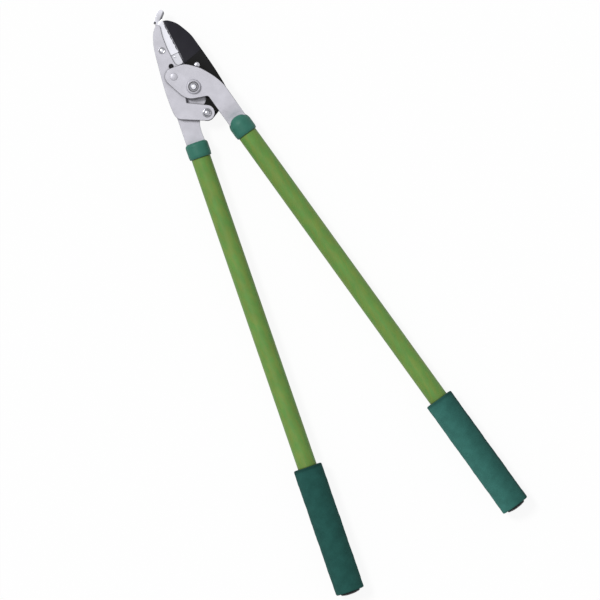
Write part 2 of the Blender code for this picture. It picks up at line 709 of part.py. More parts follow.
def add_rivets(build, right, left, anvil, bright, steel):
    """Rivets of the three outer pivots, of the insert and the spacing pieces round them."""
    low, high = RIGHT_BACK[0] - GAP, RIGHT_FRONT[1] + GAP
    link = dome(LINK_RIVET_HEAD, LINK_RIVET_HEIGHT, high, 3)
    link += [(LINK_RIVET_RADIUS, high), (LINK_RIVET_RADIUS, low), (LINK_RIVET_HEAD, low)]
    link += [(LINK_RIVET_HEAD - 0.0008, low - LINK_RIVET_HEIGHT), (0, low - LINK_RIVET_HEIGHT)]
    build.pin("anvil_link_rivet", ANVIL_LINK, link, right, steel)
    inner = LINK_RIVET_RADIUS + PIVOT_CLEARANCE
    sleeve = ring_profile(inner, inner + SLEEVE_WALL, INSERT_LAYER)
    build.pin("anvil_link_sleeve", ANVIL_LINK, sleeve, right, steel, hollow=True)

    low, high = LEFT_LAYER[0] - GAP, BLADE_LAYER[1] + GAP
    link = dome(BLADE_RIVET_HEAD, BLADE_RIVET_HEIGHT, high, 4)
    link += [(BLADE_RIVET_RADIUS, high), (BLADE_RIVET_RADIUS, low), (BLADE_RIVET_HEAD, low)]
    link += [(BLADE_RIVET_HEAD - 0.0008, low - BLADE_RIVET_HEIGHT), (0, low - BLADE_RIVET_HEIGHT)]
    build.pin("blade_link_rivet", BLADE_LINK, link, left, bright)

    low, high = ANVIL_BACK[0] - GAP, ANVIL_FRONT[1] + GAP
    flange = high + REAR_RIVET_HEIGHT
    rear = dome(REAR_DOME_RADIUS, REAR_DOME, flange)
    rear += [(REAR_RIVET_HEAD, flange), (REAR_RIVET_HEAD, high), (REAR_RIVET_RADIUS, high)]
    rear += [(REAR_RIVET_RADIUS, low), (REAR_RIVET_HEAD, low)]
    rear += [(REAR_RIVET_HEAD - 0.0008, low - REAR_RIVET_HEIGHT), (0, low - REAR_RIVET_HEIGHT)]
    build.pin("rear_rivet", REAR, rear, anvil, bright)
    inner = REAR_RIVET_RADIUS + PIVOT_CLEARANCE
    spacer = ring_profile(inner, inner + SPACER_WALL, (ANVIL_BACK[1] + GAP, BLADE_LAYER[0] - GAP))
    build.pin("rear_spacer", REAR, spacer, anvil, steel, hollow=True)

    flange = high + INSERT_RIVET_HEIGHT
    upper = dome(INSERT_DOME_RADIUS, INSERT_RIVET_HEIGHT, flange, 3)
    upper += [(INSERT_RIVET_HEAD, flange), (INSERT_RIVET_HEAD, high), (INSERT_RIVET_RADIUS, high)]
    upper += [(INSERT_RIVET_RADIUS, low), (INSERT_RIVET_HEAD, low)]
    upper += [(INSERT_RIVET_HEAD, low - INSERT_RIVET_HEIGHT), (0, low - INSERT_RIVET_HEIGHT)]
    build.pin("insert_rivet_upper", UPPER_RIVET, upper, anvil, bright)
    high = INSERT_LAYER[1] - LOWER_BLOCK_STEP + GAP
    lower = dome(SMALL_RIVET_HEAD, SMALL_RIVET_HEIGHT, high, 3)
    lower += [(SMALL_RIVET_RADIUS, high), (SMALL_RIVET_RADIUS, low), (SMALL_RIVET_HEAD, low)]
    lower += [(SMALL_RIVET_HEAD, low - SMALL_RIVET_HEIGHT), (0, low - SMALL_RIVET_HEIGHT)]
    build.pin("insert_rivet_lower", LOWER_RIVET, lower, anvil, bright, steps=12)


def add_ferrule(build, word, axis, cap, rounding, tangs, material):
    """Ferrule over a tube's end, rounded in front and slotted for each tang (middle, thickness)."""
    bore = TUBE_RADIUS + GAP
    shoulder = -FERRULE_SHOULDER
    top = shoulder + cap
    bottom = shoulder - FERRULE_SKIRT
    corner = rounding * FERRULE_RADIUS
    ferrule = [(0, top)]
    ferrule += arc((FERRULE_RADIUS - corner, top - corner), corner, pi / 2, -pi / 2)
    ferrule += [(FERRULE_RADIUS, bottom + 0.0005), (FERRULE_RADIUS - 0.0005, bottom), (bore, bottom)]
    ferrule += [(bore, shoulder), (0, shoulder)]
    item = build.sleeve("ferrule_" + word, axis, ferrule, material, hollow=False)
    for number, (middle, thickness) in enumerate(tangs, 1):
        name = f"tang_slot_{word}_{number}"
        box = box_mesh(name, (2 * (TANG_HALF + GAP), thickness + 2 * GAP, 2 * (cap + GAP)))
        build.cut(item, name, box, (0, middle, top), axis)


def add_handle(build, word, side, axis, carrier, looks):
    """Tube, foam grip, end cap and tang rivet of one handle."""
    tube_layer = (-GRIP_END, -TUBE_START)
    tube = build.sleeve("tube_" + word, axis, ring_profile(TUBE_BORE, TUBE_RADIUS, tube_layer), looks["tube"])
    drill = cylinder_mesh("tube_drill_" + word, TANG_RIVET_RADIUS + GAP, 2 * TUBE_DIAMETER, 16)
    place = handle_point(side, TANG_RIVET_AT, 0)
    build.cut(tube, "tube_drill_" + word, drill, (*place, PLANE))
    reach = sqrt(TUBE_RADIUS ** 2 - TANG_RIVET_RADIUS ** 2) - GAP / 3
    rivet = [(0, PLANE + reach), (TANG_RIVET_RADIUS, PLANE + reach)]
    rivet += [(TANG_RIVET_RADIUS, PLANE - reach), (0, PLANE - reach)]
    build.pin("tang_rivet_" + word, place, rivet, carrier, looks["steel"], steps=16)

    start, end = -GRIP_START, -GRIP_END
    inside = TUBE_RADIUS + GAP
    grip = arc((GRIP_RADIUS - GRIP_CORNER, start - GRIP_CORNER), GRIP_CORNER, pi / 2, -pi / 2, CORNER_STEP)
    grip += arc((GRIP_RADIUS - GRIP_CORNER, end + GRIP_CORNER), GRIP_CORNER, 0, -pi / 2, CORNER_STEP)
    grip += [(inside, end), (inside, start)]
    build.sleeve("grip_" + word, axis, grip, looks["grip"])

    face = end - GAP
    plug = TUBE_BORE - GAP
    cap = [(0, face + END_CAP_PLUG), (plug, face + END_CAP_PLUG), (plug, face), (TUBE_RADIUS, face)]
    rounded = reversed(dome(TUBE_RADIUS, END_CAP_DOME, END_CAP_RIM))
    cap += [(radius, face - height) for radius, height in rounded]
    build.sleeve("end_cap_" + word, axis, cap, looks["cap"], hollow=False)


def main():
    remove_default_objects()
    build = Builder()
    steel = new_material("satin_steel", (0.56, 0.56, 0.60), 0.38, 0.9)
    bright = new_material("bright_steel", (0.75, 0.75, 0.82), 0.22, 0.95)
    black = new_material("blade_coating", (0.02, 0.02, 0.022), 0.40, 0.3)
    looks = {
        "ferrule": new_material("teal_plastic", (0.045, 0.17, 0.155), 0.45, 0.0),
        "tube": new_material("green_paint", (0.16, 0.28, 0.07), 0.35, 0.2),
        "grip": new_material("teal_foam", (0.03, 0.10, 0.085), 0.85, 0.0),
        "cap": new_material("black_plastic", (0.012, 0.012, 0.013), 0.5, 0.0),
        "steel": steel,
    }
    right = build.joint("right_handle", BOLT)
    left = build.joint("left_handle_joint", BOLT)
    anvil = build.joint("anvil_joint", ANVIL_LINK)
    blade = build.joint("blade_joint", BLADE_LINK)
    build.attach(left, right)
    build.attach(anvil, right)
    build.attach(blade, left)
    bpy.context.view_layer.update()

    add_right_plates(build, right, steel)
    add_left_plate(build, left, steel)
    add_anvil_jaw(build, anvil, steel, bright)
    add_blade(build, blade, black)
    add_main_bolt(build, right, bright, steel)
    add_rivets(build, right, left, anvil, bright, steel)
    right_axis = build.handle_axis("right_handle_axis", RIGHT_SIDE, right)
    left_axis = build.handle_axis("left_handle_axis", LEFT_SIDE, left)
    right_front = (RIGHT_FERRULE_CAP, RIGHT_FERRULE_ROUNDING)
    left_front = (LEFT_FERRULE_CAP, LEFT_FERRULE_ROUNDING)
    add_ferrule(build, "right", right_axis, *right_front, RIGHT_TANGS, looks["ferrule"])
    add_ferrule(build, "left", left_axis, *left_front, LEFT_TANGS, looks["ferrule"])
    add_handle(build, "right", RIGHT_SIDE, right_axis, right, looks)
    add_handle(build, "left", LEFT_SIDE, left_axis, left, looks)


main()
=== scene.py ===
"""Studio scene of a double-lever anvil lopper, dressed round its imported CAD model.

Every visible piece of the tool is a surface worked out with numpy: pressed plates carry a rolled
edge along the outline that the CAD plate has, and turned pieces carry a profile round their axis.
Lengths are in metres, in the frame's own axes: +Y runs from the main bolt to the tip of the jaws,
+X to the blade's side and +Z up from the surface that the tool lies on.
"""

import logging
from dataclasses import dataclass, field
from enum import Enum
from functools import reduce
from math import cos, pi, radians, sin
from typing import Iterable, Sequence

import bmesh
import bpy
import numpy as np
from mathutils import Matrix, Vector, geometry
from numpy.typing import NDArray


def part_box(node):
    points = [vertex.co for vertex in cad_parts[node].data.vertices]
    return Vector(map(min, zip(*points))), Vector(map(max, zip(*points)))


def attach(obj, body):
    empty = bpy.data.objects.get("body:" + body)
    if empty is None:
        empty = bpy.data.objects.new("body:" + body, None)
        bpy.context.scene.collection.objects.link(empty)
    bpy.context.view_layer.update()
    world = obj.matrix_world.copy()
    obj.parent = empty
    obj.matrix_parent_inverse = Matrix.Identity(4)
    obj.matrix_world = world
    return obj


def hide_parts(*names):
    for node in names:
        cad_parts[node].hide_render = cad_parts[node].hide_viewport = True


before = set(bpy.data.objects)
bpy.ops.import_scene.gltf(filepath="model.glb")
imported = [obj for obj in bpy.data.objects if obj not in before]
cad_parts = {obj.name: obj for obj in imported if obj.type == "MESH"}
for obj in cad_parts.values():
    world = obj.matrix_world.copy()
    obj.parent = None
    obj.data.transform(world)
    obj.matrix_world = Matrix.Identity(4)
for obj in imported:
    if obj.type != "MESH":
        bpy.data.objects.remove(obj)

Array = NDArray[np.float64]
Indices = NDArray[np.int64]
Socket = bpy.types.NodeSocket
Colour = tuple[float, float, float]
Place = tuple[float, float]
Disc = tuple[float, float, float]

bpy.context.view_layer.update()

# Distances below which two points are one, a triangle is a sliver and a point lies on a line, and
# what stands for 0 in a division
WELD = 2e-6
SLIVER = WELD / 4
ON_LINE = WELD / 100
TINY = 1e-9

# Largest share of the next side that a fillet takes up, and largest half turn that it rounds
FILLET_SHARE = 0.48
WIDEST_HALF_TURN = 1.5

# Largest share of a plate's thickness that its rolled edge takes up, and of a short side that an
# inset eats up, and the least cosine that a corner's turn is given there
EDGE_SHARE = 0.38
INSET_SHARE = 0.8
LEAST_COSINE = -0.8

# Share of a dimple's radius over which its wall falls
DIMPLE_WALL = 0.1

# Wear on a turned piece's plain edges, and angle in degrees from which its edges are drawn sharp
PLAIN_WEAR = 0.3
TURNED_SHARP = 40

log = logging.getLogger("lopper")


class Body(str, Enum):
    """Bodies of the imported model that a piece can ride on."""

    RIGHT = "right_handle"
    LEFT = "left_handle"
    ANVIL = "anvil_jaw"
    BLADE = "blade_jaw"


class Slot(str, Enum):
    """Material slots of the record."""

    SATIN_STEEL = "satin_steel"
    BRIGHT_STEEL = "bright_steel"
    BLADE_COATING = "blade_coating"
    GREEN_PAINT = "green_paint"
    TEAL_PLASTIC = "teal_plastic"
    TEAL_FOAM = "teal_foam"
    BLACK_PLASTIC = "black_plastic"


class Side(Enum):
    """The two handles, by the side of the main bolt that they run down."""

    RIGHT = 1
    LEFT = -1

    @property
    def word(self) -> str:
        """Word that ends the names of this handle's pieces."""
        return self.name.lower()

    @property
    def body(self) -> Body:
        """Body that this handle's pieces ride on."""
        return Body.RIGHT if self is Side.RIGHT else Body.LEFT


# Material recipes


class Tree:
    """Node tree of a material or of the world, put together node by node."""

    def __init__(self, owner: bpy.types.Material | bpy.types.World) -> None:
        """Start with the tree that the owner has.

        Args:
            owner: what the tree belongs to.
        """
        owner.use_nodes = True
        self.owner = owner
        self.nodes = owner.node_tree.nodes
        self.links = owner.node_tree.links

    def feed(self, socket: Socket, value: object) -> None:
        """Link an input to a socket, or give it a plain value.

        Args:
            socket: the input.
            value: another node's socket, a number, or three numbers.
        """
        if isinstance(value, bpy.types.NodeSocket):
            self.links.new(value, socket)
        else:
            socket.default_value = (*value, 1.0) if socket.type == "RGBA" else value

    def add(self, kind: str, inputs: dict, **settings: object) -> bpy.types.Node:
        """Add a node.

        Args:
            kind: its type name.
            inputs: a value or a socket for each input, by name or number.
            settings: the node's own properties.

        Returns:
            The new node.
        """
        node = self.nodes.new(kind)
        for key, value in settings.items():
            setattr(node, key, value)
        for key, value in inputs.items():
            self.feed(node.inputs[key], value)
        return node

    def math(self, operation: str, first: Socket | float, second: Socket | float) -> Socket:
        """Result of an operation on two values."""
        return self.add("ShaderNodeMath", {0: first, 1: second}, operation=operation).outputs[0]

    def split(self, lit: bpy.types.Node, shown: bpy.types.Node, share: float, output: str) -> None:
        """End the tree with one shader for the camera and for reflections, and one for the light.

        Args:
            lit: shader that is met by rays that carry light.
            shown: shader that is met by the other rays.
            share: how much of it these meet.
            output: type name of the tree's last node.
        """
        path = self.add("ShaderNodeLightPath", {}).outputs
        mirrored = self.math("MAXIMUM", path["Is Glossy Ray"], path["Is Transmission Ray"])
        seen = self.math("MULTIPLY", self.math("MAXIMUM", path["Is Camera Ray"], mirrored), share)
        shaders = {0: seen, 1: lit.outputs[0], 2: shown.outputs[0]}
        self.add(output, {0: self.add("ShaderNodeMixShader", shaders).outputs[0]})


class Recipe(Tree):
    """Node tree of one finish, on Object coordinates."""

    def __init__(self, name: str) -> None:
        """Start a material with its Principled shader.

        Args:
            name: the material's name.
        """
        super().__init__(bpy.data.materials.new(name))
        self.shader = self.nodes["Principled BSDF"]
        self.place = self.add("ShaderNodeTexCoord", {}).outputs["Object"]

    def noise(self, size: float, detail: float = 2.0, stretch: Sequence[float] = (1, 1, 1)) -> Socket:
        """Smooth noise from 0 to 1.

        Args:
            size: how far apart its bumps are, in metres.
            detail: number of finer octaves.
            stretch: scale of the pattern along each axis.

        Returns:
            The noise's factor.
        """
        mapped = self.add("ShaderNodeMapping", {"Vector": self.place, "Scale": stretch}).outputs[0]
        inputs = {"Vector": mapped, "Scale": 1 / size, "Detail": detail, "Roughness": 0.55}
        return self.add("ShaderNodeTexNoise", inputs).outputs["Fac"]

    def cloud(
        self, low: float, high: float, size: float, detail: float = 2.0,
        stretch: Sequence[float] = (1, 1, 1), usual: Sequence[float] = (0.3, 0.7),
    ) -> Socket:
        """Smooth noise that is carried from its usual span to another."""
        return self.span(self.noise(size, detail, stretch), usual, (low, high))

    def speck(self, size: float) -> Socket:
        """Faint specks, as a share of the colour."""
        return self.cloud(0.985, 1.015, size)

    def cells(self, size: float) -> Socket:
        """Distance to the nearest cell centre, from 0 to about 1, in cells of this size in metres."""
        inputs = {"Vector": self.place, "Scale": 1 / size}
        return self.add("ShaderNodeTexVoronoi", inputs).outputs["Distance"]

    def mark(self, name: str) -> Socket:
        """Value that the mesh carries at each point, under the attribute's name."""
        return self.add("ShaderNodeAttribute", {}, attribute_name=name).outputs["Fac"]

    def painted_crevice_shade(self, left: float) -> Socket:
        """Share of the colour that paints shade: it falls to what is left of it where the mesh's mark is -1.
        """
        return self.span(self.mark("wear"), (-1, 0), (left, 1))

    def span(self, value: Socket, source: Sequence[float], target: Sequence[float]) -> Socket:
        """Value carried from its low and high end in source to those in target, and clamped."""
        inputs = {0: value, 1: source[0], 2: source[1], 3: target[0], 4: target[1]}
        return self.add("ShaderNodeMapRange", inputs).outputs[0]

    def times(self, *values: Socket | float) -> Socket:
        """Product of all the values."""
        return reduce(lambda product, value: self.math("MULTIPLY", product, value), values)

    def plus(self, first: Socket, second: Socket | float) -> Socket:
        """Sum of two values."""
        return self.math("ADD", first, second)

    def shade(self, colour: Colour | Socket, share: Socket) -> Socket:
        """Colour of which this share is left, which may be above 1."""
        inputs = {"Vector": colour, "Scale": share}
        return self.add("ShaderNodeVectorMath", inputs, operation="SCALE").outputs[0]

    def mix(self, first: Colour | Socket, second: Colour | Socket, share: Socket) -> Socket:
        """Colour between the first, at share 0, and the second, at share 1."""
        return self.add("ShaderNodeMix", {0: share, 6: first, 7: second}, data_type="RGBA").outputs[2]

    def relief(self, height: Socket, depth: float, under: Socket | None = None) -> Socket:
        """Bump from a height pattern.

        Args:
            height: the pattern, from 0 to 1.
            depth: how far 1 stands over 0, in metres.
            under: a coarser relief that this one lies on.

        Returns:
            The bent normal.
        """
        inputs = {"Height": height, "Distance": depth, "Strength": 1.0}
        if under is not None:
            inputs["Normal"] = under
        return self.add("ShaderNodeBump", inputs).outputs[0]

    def finish(self, **inputs: object) -> bpy.types.Material:
        """Set the shader's own inputs.

        Args:
            inputs: a value or a socket for each, with _ for a space in its name.

        Returns:
            The finished material.
        """
        for key, value in inputs.items():
            self.feed(self.shader.inputs[key.replace("_", " ")], value)
        return self.owner


@dataclass(frozen=True)
class SteelFinish:
    """Plated or ground steel, with fine grain, brighter rubbed edges, painted light on a bent slope and
    painted shade in crevices, along edges and under covering plates.
    """

    name: str
    colour: Colour
    roughness: float
    metallic: float
    drift: float = 0.035
    grain: float = 0.000012
    grain_size: float = 0.0005
    stretch: tuple[float, float, float] = (1.0, 1.0, 1.0)
    # Brightening where the mesh's mark is 1: real polish on rubbed edges, and painted light on the right
    # plates' bent slope
    polish_and_painted_light: float = 0.08
    # Darkness of the painted shade where the mesh's mark is -1
    painted_shade: float = 0.85

    def build(self) -> bpy.types.Material:
        """Make the material.

        Returns:
            The steel, which reads the mesh's mark: towards 1 brighter, for rubbed edges and for painted
            light, and towards -1 darker, as painted shade.
        """
        recipe = Recipe(self.name)
        wear = recipe.mark("wear")
        share = recipe.times(
            recipe.cloud(1 - self.drift, 1 + self.drift, size=0.015, detail=3),
            recipe.speck(0.0011),
            recipe.span(wear, (0, 1), (1, 1 + self.polish_and_painted_light)),
            recipe.painted_crevice_shade(1 - self.painted_shade),
        )
        gloss = recipe.cloud(0.92, 1.1, size=0.004, detail=3, stretch=self.stretch)
        grain = recipe.noise(self.grain_size, 4, self.stretch)
        return recipe.finish(
            Base_Color=recipe.shade(self.colour, share),
            Metallic=self.metallic,
            Roughness=recipe.times(gloss, recipe.span(wear, (0, 1), (1, 0.8)), self.roughness),
            Normal=recipe.relief(grain, self.grain),
        )


@dataclass(frozen=True)
class BladeFinish:
    """Black non-stick coat over a ground blade, worn to steel along the cutting edge."""

    name: str = "blade_coating"
    body: Colour = (0.0100, 0.0100, 0.0098)
    ground: Colour = (0.0165, 0.0160, 0.0215)
    steel: Colour = (0.42, 0.42, 0.45)
    roughness: float = 0.62

    def build(self) -> bpy.types.Material:
        """Make the material.

        Returns:
            The coat, which reads the mesh's tone, 1 where the blade is ground, and its wear.
        """
        recipe = Recipe(self.name)
        tone = recipe.mark("tone")
        chips = recipe.cloud(0.55, 1, size=0.0016, detail=4, usual=(0.42, 0.6))
        bare = recipe.times(recipe.span(recipe.mark("wear"), (0.15, 1), (0, 1)), chips)
        body = recipe.mix(self.body, self.ground, tone)
        coat = recipe.shade(body, recipe.cloud(0.9, 1.12, size=0.012, detail=3))
        lines = recipe.noise(0.0009, 3, (0.12, 1, 1))
        height = recipe.plus(recipe.times(recipe.noise(0.00035, 3), 0.35), recipe.times(lines, tone, 0.8))
        gloss = recipe.cloud(0.92, 1.08, size=0.006, detail=3)
        return recipe.finish(
            Base_Color=recipe.mix(coat, self.steel, bare),
            Metallic=recipe.times(bare, 0.9),
            Roughness=recipe.times(gloss, recipe.span(tone, (0, 1), (1, 0.88)), self.roughness),
            Specular_IOR_Level=0.07,
            Normal=recipe.relief(height, 0.000014),
        )


@dataclass(frozen=True)
class PaintFinish:
    """Satin paint on a tube, with a faint orange peel and the odd speck."""

    name: str = "green_paint"
    colour: Colour = (0.110, 0.250, 0.050)
    olive: Colour = (0.152, 0.243, 0.047)
    roughness: float = 0.48
    specular: float = 0.24

    def build(self) -> bpy.types.Material:
        """Make the material.

        Returns:
            The paint, which painted shade in the mesh, from -1, makes darker.
        """
        recipe = Recipe(self.name)
        streak = recipe.cloud(0, 1, size=0.0046, detail=4, stretch=(1, 0.26, 1), usual=(0.38, 0.62))
        share = recipe.times(
            recipe.cloud(0.92, 1.07, size=0.0110, detail=4, stretch=(1, 0.5, 1)),
            recipe.speck(0.0009),
            recipe.painted_crevice_shade(0.2),
        )
        peel = recipe.relief(recipe.noise(0.0022), 0.00002)
        return recipe.finish(
            Base_Color=recipe.shade(recipe.mix(self.colour, self.olive, streak), share),
            Roughness=recipe.cloud(self.roughness - 0.03, self.roughness + 0.04, size=0.003, detail=3),
            Specular_IOR_Level=self.specular,
            Normal=recipe.relief(recipe.noise(0.0004), 0.000004, peel),
        )


@dataclass(frozen=True)
class PlasticFinish:
    """Moulded plastic with a fine eroded texture."""

    name: str
    colour: Colour
    roughness: float = 0.5
    specular: float = 0.2
    texture: float = 0.00002

    def build(self) -> bpy.types.Material:
        """Make the material.

        Returns:
            The plastic, which the mesh's wear makes lighter on its edges and darker with painted shade in its
            grooves and where it meets other pieces.
        """
        recipe = Recipe(self.name)
        cloud = recipe.cloud(0.94, 1.06, size=0.007, detail=3)
        edge = recipe.span(recipe.mark("wear"), (-1, 1), (0.55, 1.3))
        height = recipe.plus(recipe.noise(0.0005, 3), recipe.times(recipe.cells(0.0007), 0.5))
        return recipe.finish(
            Base_Color=recipe.shade(self.colour, recipe.times(cloud, edge)),
            Roughness=recipe.cloud(self.roughness - 0.04, self.roughness + 0.04, size=0.002),
            Specular_IOR_Level=self.specular,
            Normal=recipe.relief(height, self.texture),
        )


@dataclass(frozen=True)
class FoamFinish:
    """Closed-cell foam: soft mottling, fine open cells and almost no gloss."""

    name: str = "teal_foam"
    colour: Colour = (0.0125, 0.060, 0.052)
    pale: Colour = (0.0460, 0.170, 0.145)

    def build(self) -> bpy.types.Material:
        """Make the material.

        Returns:
            The foam, which the mesh's tone makes paler, partly as painted light, and its painted shade, from
            -1, darker.
        """
        recipe = Recipe(self.name)
        cells = recipe.cells(0.0008)
        share = recipe.times(
            recipe.cloud(0.90, 1.10, size=0.011, detail=4, usual=(0.34, 0.66)),
            recipe.painted_crevice_shade(0.2),
            recipe.span(cells, (0.15, 0.75), (0.9, 1.05)),
        )
        height = recipe.plus(recipe.times(cells, 0.8), recipe.noise(0.0003, 3))
        soft = recipe.relief(recipe.noise(0.005), 0.00012)
        return recipe.finish(
            Base_Color=recipe.shade(recipe.mix(self.colour, self.pale, recipe.mark("tone")), share),
            Roughness=0.92,
            Specular_IOR_Level=0.05,
            Sheen_Weight=0.02,
            Sheen_Roughness=0.5,
            Normal=recipe.relief(height, 0.00009, soft),
        )


def make_finishes() -> dict[Slot, bpy.types.Material]:
    """Make every finish of the tool.

    Returns:
        The material of each slot.
    """
    recipes = {
        Slot.SATIN_STEEL: SteelFinish(
            "satin_steel", (0.468, 0.462, 0.508), roughness=0.46, metallic=0.40, drift=0.07, polish_and_painted_light=0.32
        ),
        Slot.BRIGHT_STEEL: SteelFinish(
            "bright_steel", (0.74, 0.74, 0.80), roughness=0.27, metallic=0.85, drift=0.02, grain=0.000008,
            stretch=(1.0, 0.2, 1.0),
        ),
        Slot.BLADE_COATING: BladeFinish(),
        Slot.GREEN_PAINT: PaintFinish(),
        Slot.TEAL_PLASTIC: PlasticFinish("teal_plastic", (0.036, 0.160, 0.118)),
        Slot.TEAL_FOAM: FoamFinish(),
        Slot.BLACK_PLASTIC: PlasticFinish(
            "black_plastic", (0.010, 0.010, 0.011), roughness=0.55, specular=0.25
        ),
    }
    return {slot: recipe.build() for slot, recipe in recipes.items()}


# Surfaces on grids


@dataclass(frozen=True)
class Patch:
    """Points and faces of one stretch of a surface, with two values at each point."""

    points: Array
    faces: Indices
    wear: Array
    tone: Array


def grid_patch(
    points: Array, wear: Array | float = 0.0, wrap_rows: bool = False, tone: Array | float = 0.0
) -> Patch:
    """Surface of quads over a grid of points, whose last column joins the first.

    Args:
        points: rows by columns by 3.
        wear: real wear, painted light and painted shade of each point, or of each row as a column, or of all.
        wrap_rows: whether the last row joins the first.
        tone: tone of each point, or of each column as a row, or of all.

    Returns:
        The surface.
    """
    rows, columns = points.shape[:2]
    index = np.arange(rows * columns).reshape(rows, columns)
    if wrap_rows:
        index = np.vstack([index, index[:1]])
    index = np.hstack([index, index[:, :1]])
    corners = [index[:-1, :-1], index[1:, :-1], index[1:, 1:], index[:-1, 1:]]
    quads = np.stack(corners, axis=-1).reshape(-1, 4)
    worn_and_shaded, toned = (np.broadcast_to(value, (rows, columns)).ravel() for value in (wear, tone))
    return Patch(points.reshape(-1, 3), quads, worn_and_shaded, toned)


def make_mesh(name: str, patches: Sequence[Patch], sharp: float) -> bpy.types.Mesh:
    """One closed mesh from patches that meet along their borders.

    Args:
        name: the mesh's name.
        patches: the stretches of its surface.
        sharp: angle in degrees from which an edge is drawn sharp.

    Returns:
        The mesh, welded along the borders and at the poles, with its faces out.
    """
    starts = np.cumsum([0] + [len(patch.points) for patch in patches])
    faces = [face for patch, start in zip(patches, starts) for face in (patch.faces + start).tolist()]
    mesh = bpy.data.meshes.new(name)
    mesh.from_pydata(np.concatenate([patch.points for patch in patches]), [], faces)
    # The wear attribute carries real wear, painted light and painted shade; tone carries the blade's ground
    # face and the grips' tone with painted light
    for key in ("wear", "tone"):
        values = np.concatenate([getattr(patch, key) for patch in patches])
        layer = mesh.attributes.new(key, "FLOAT", "POINT")
        layer.data.foreach_set("value", values.astype(np.float32))
    work = bmesh.new()
    work.from_mesh(mesh)
    bmesh.ops.remove_doubles(work, verts=work.verts, dist=WELD)
    bmesh.ops.dissolve_degenerate(work, edges=work.edges, dist=SLIVER)
    bmesh.ops.recalc_face_normals(work, faces=work.faces)
    open_edges = sum(not edge.is_manifold for edge in work.edges)
    if open_edges:
        log.warning("%s has %d edges without two faces", name, open_edges)
    work.to_mesh(mesh)
    work.free()
    mesh.shade_smooth()
    mesh.set_sharp_from_angle(angle=radians(sharp))
    return mesh


def placed(name: str, data: bpy.types.ID) -> bpy.types.Object:
    """Put a mesh, a lamp or a camera into the scene.

    Args:
        name: the object's name.
        data: what it shows.

    Returns:
        The object, at the origin.
    """
    item = bpy.data.objects.new(name, data)
    bpy.context.scene.collection.objects.link(item)
    return item


@dataclass(frozen=True)
class Axis:
    """Line that turned pieces lie on, with two directions square to it."""

    origin: Array
    along: Array
    across: Array

    @property
    def lift(self) -> Array:
        """Direction square to the other two."""
        return np.cross(self.along, self.across)

    def measure(self, node: str) -> tuple[float, float, float]:
        """Reach of a CAD node about this axis.

        Args:
            node: the CAD node.

        Returns:
            Where it starts and ends along the axis, and its largest radius.
        """
        points = node_points(node) - self.origin
        along = points @ self.along
        return along.min(), along.max(), np.linalg.norm(points - np.outer(along, self.along), axis=1).max()

    def wrap(self, radius: Array, height: Array, angle: Array) -> Array:
        """Points at a radius, a height and an angle round the axis.

        The point is the origin, plus the height along the axis, plus the radius times (cosine of
        the angle across, sine of the angle lifted).

        Args:
            radius: radius of each point.
            height: distance along the axis.
            angle: angle round the axis.

        Returns:
            The points, in the shape of the three with 3 more.
        """
        radius, height, angle = np.broadcast_arrays(radius, height, angle)
        ring = radius[..., None] * (
            np.cos(angle)[..., None] * self.across + np.sin(angle)[..., None] * self.lift
        )
        return self.origin + height[..., None] * self.along + ring


def upright(x: float, y: float) -> Axis:
    """Axis that rises from a place in plan, on which a height is the height over the floor."""
    return Axis(np.array([x, y, 0.0]), np.array([0.0, 0.0, 1.0]), np.array([1.0, 0.0, 0.0]))


@dataclass(frozen=True)
class HandleLine:
    """Middle line of one handle in plan, from beside the main bolt to its end."""

    side: Side
    offset: float = 0.0200
    spread: float = radians(8.4)
    plane: float = 0.0180

    @property
    def origin(self) -> Array:
        """Where the line starts, level with the bolt."""
        return np.array([self.side.value * self.offset, 0.0])

    @property
    def heading(self) -> Array:
        """Direction of the line, away from the jaws."""
        return np.array([self.side.value * sin(self.spread), -cos(self.spread)])

    @property
    def axis(self) -> Axis:
        """The line as an axis for turned pieces."""
        across = np.array([-self.heading[1], self.heading[0], 0.0])
        return Axis(np.array([*self.origin, self.plane]), np.array([*self.heading, 0.0]), across)


def node_points(node: str) -> Array:
    """Points of a CAD node.

    Args:
        node: the CAD node.

    Returns:
        One row a point.
    """
    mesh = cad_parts[node].data
    points = np.empty(len(mesh.vertices) * 3, np.float32)
    mesh.vertices.foreach_get("co", points)
    return points.reshape(-1, 3).astype(float)


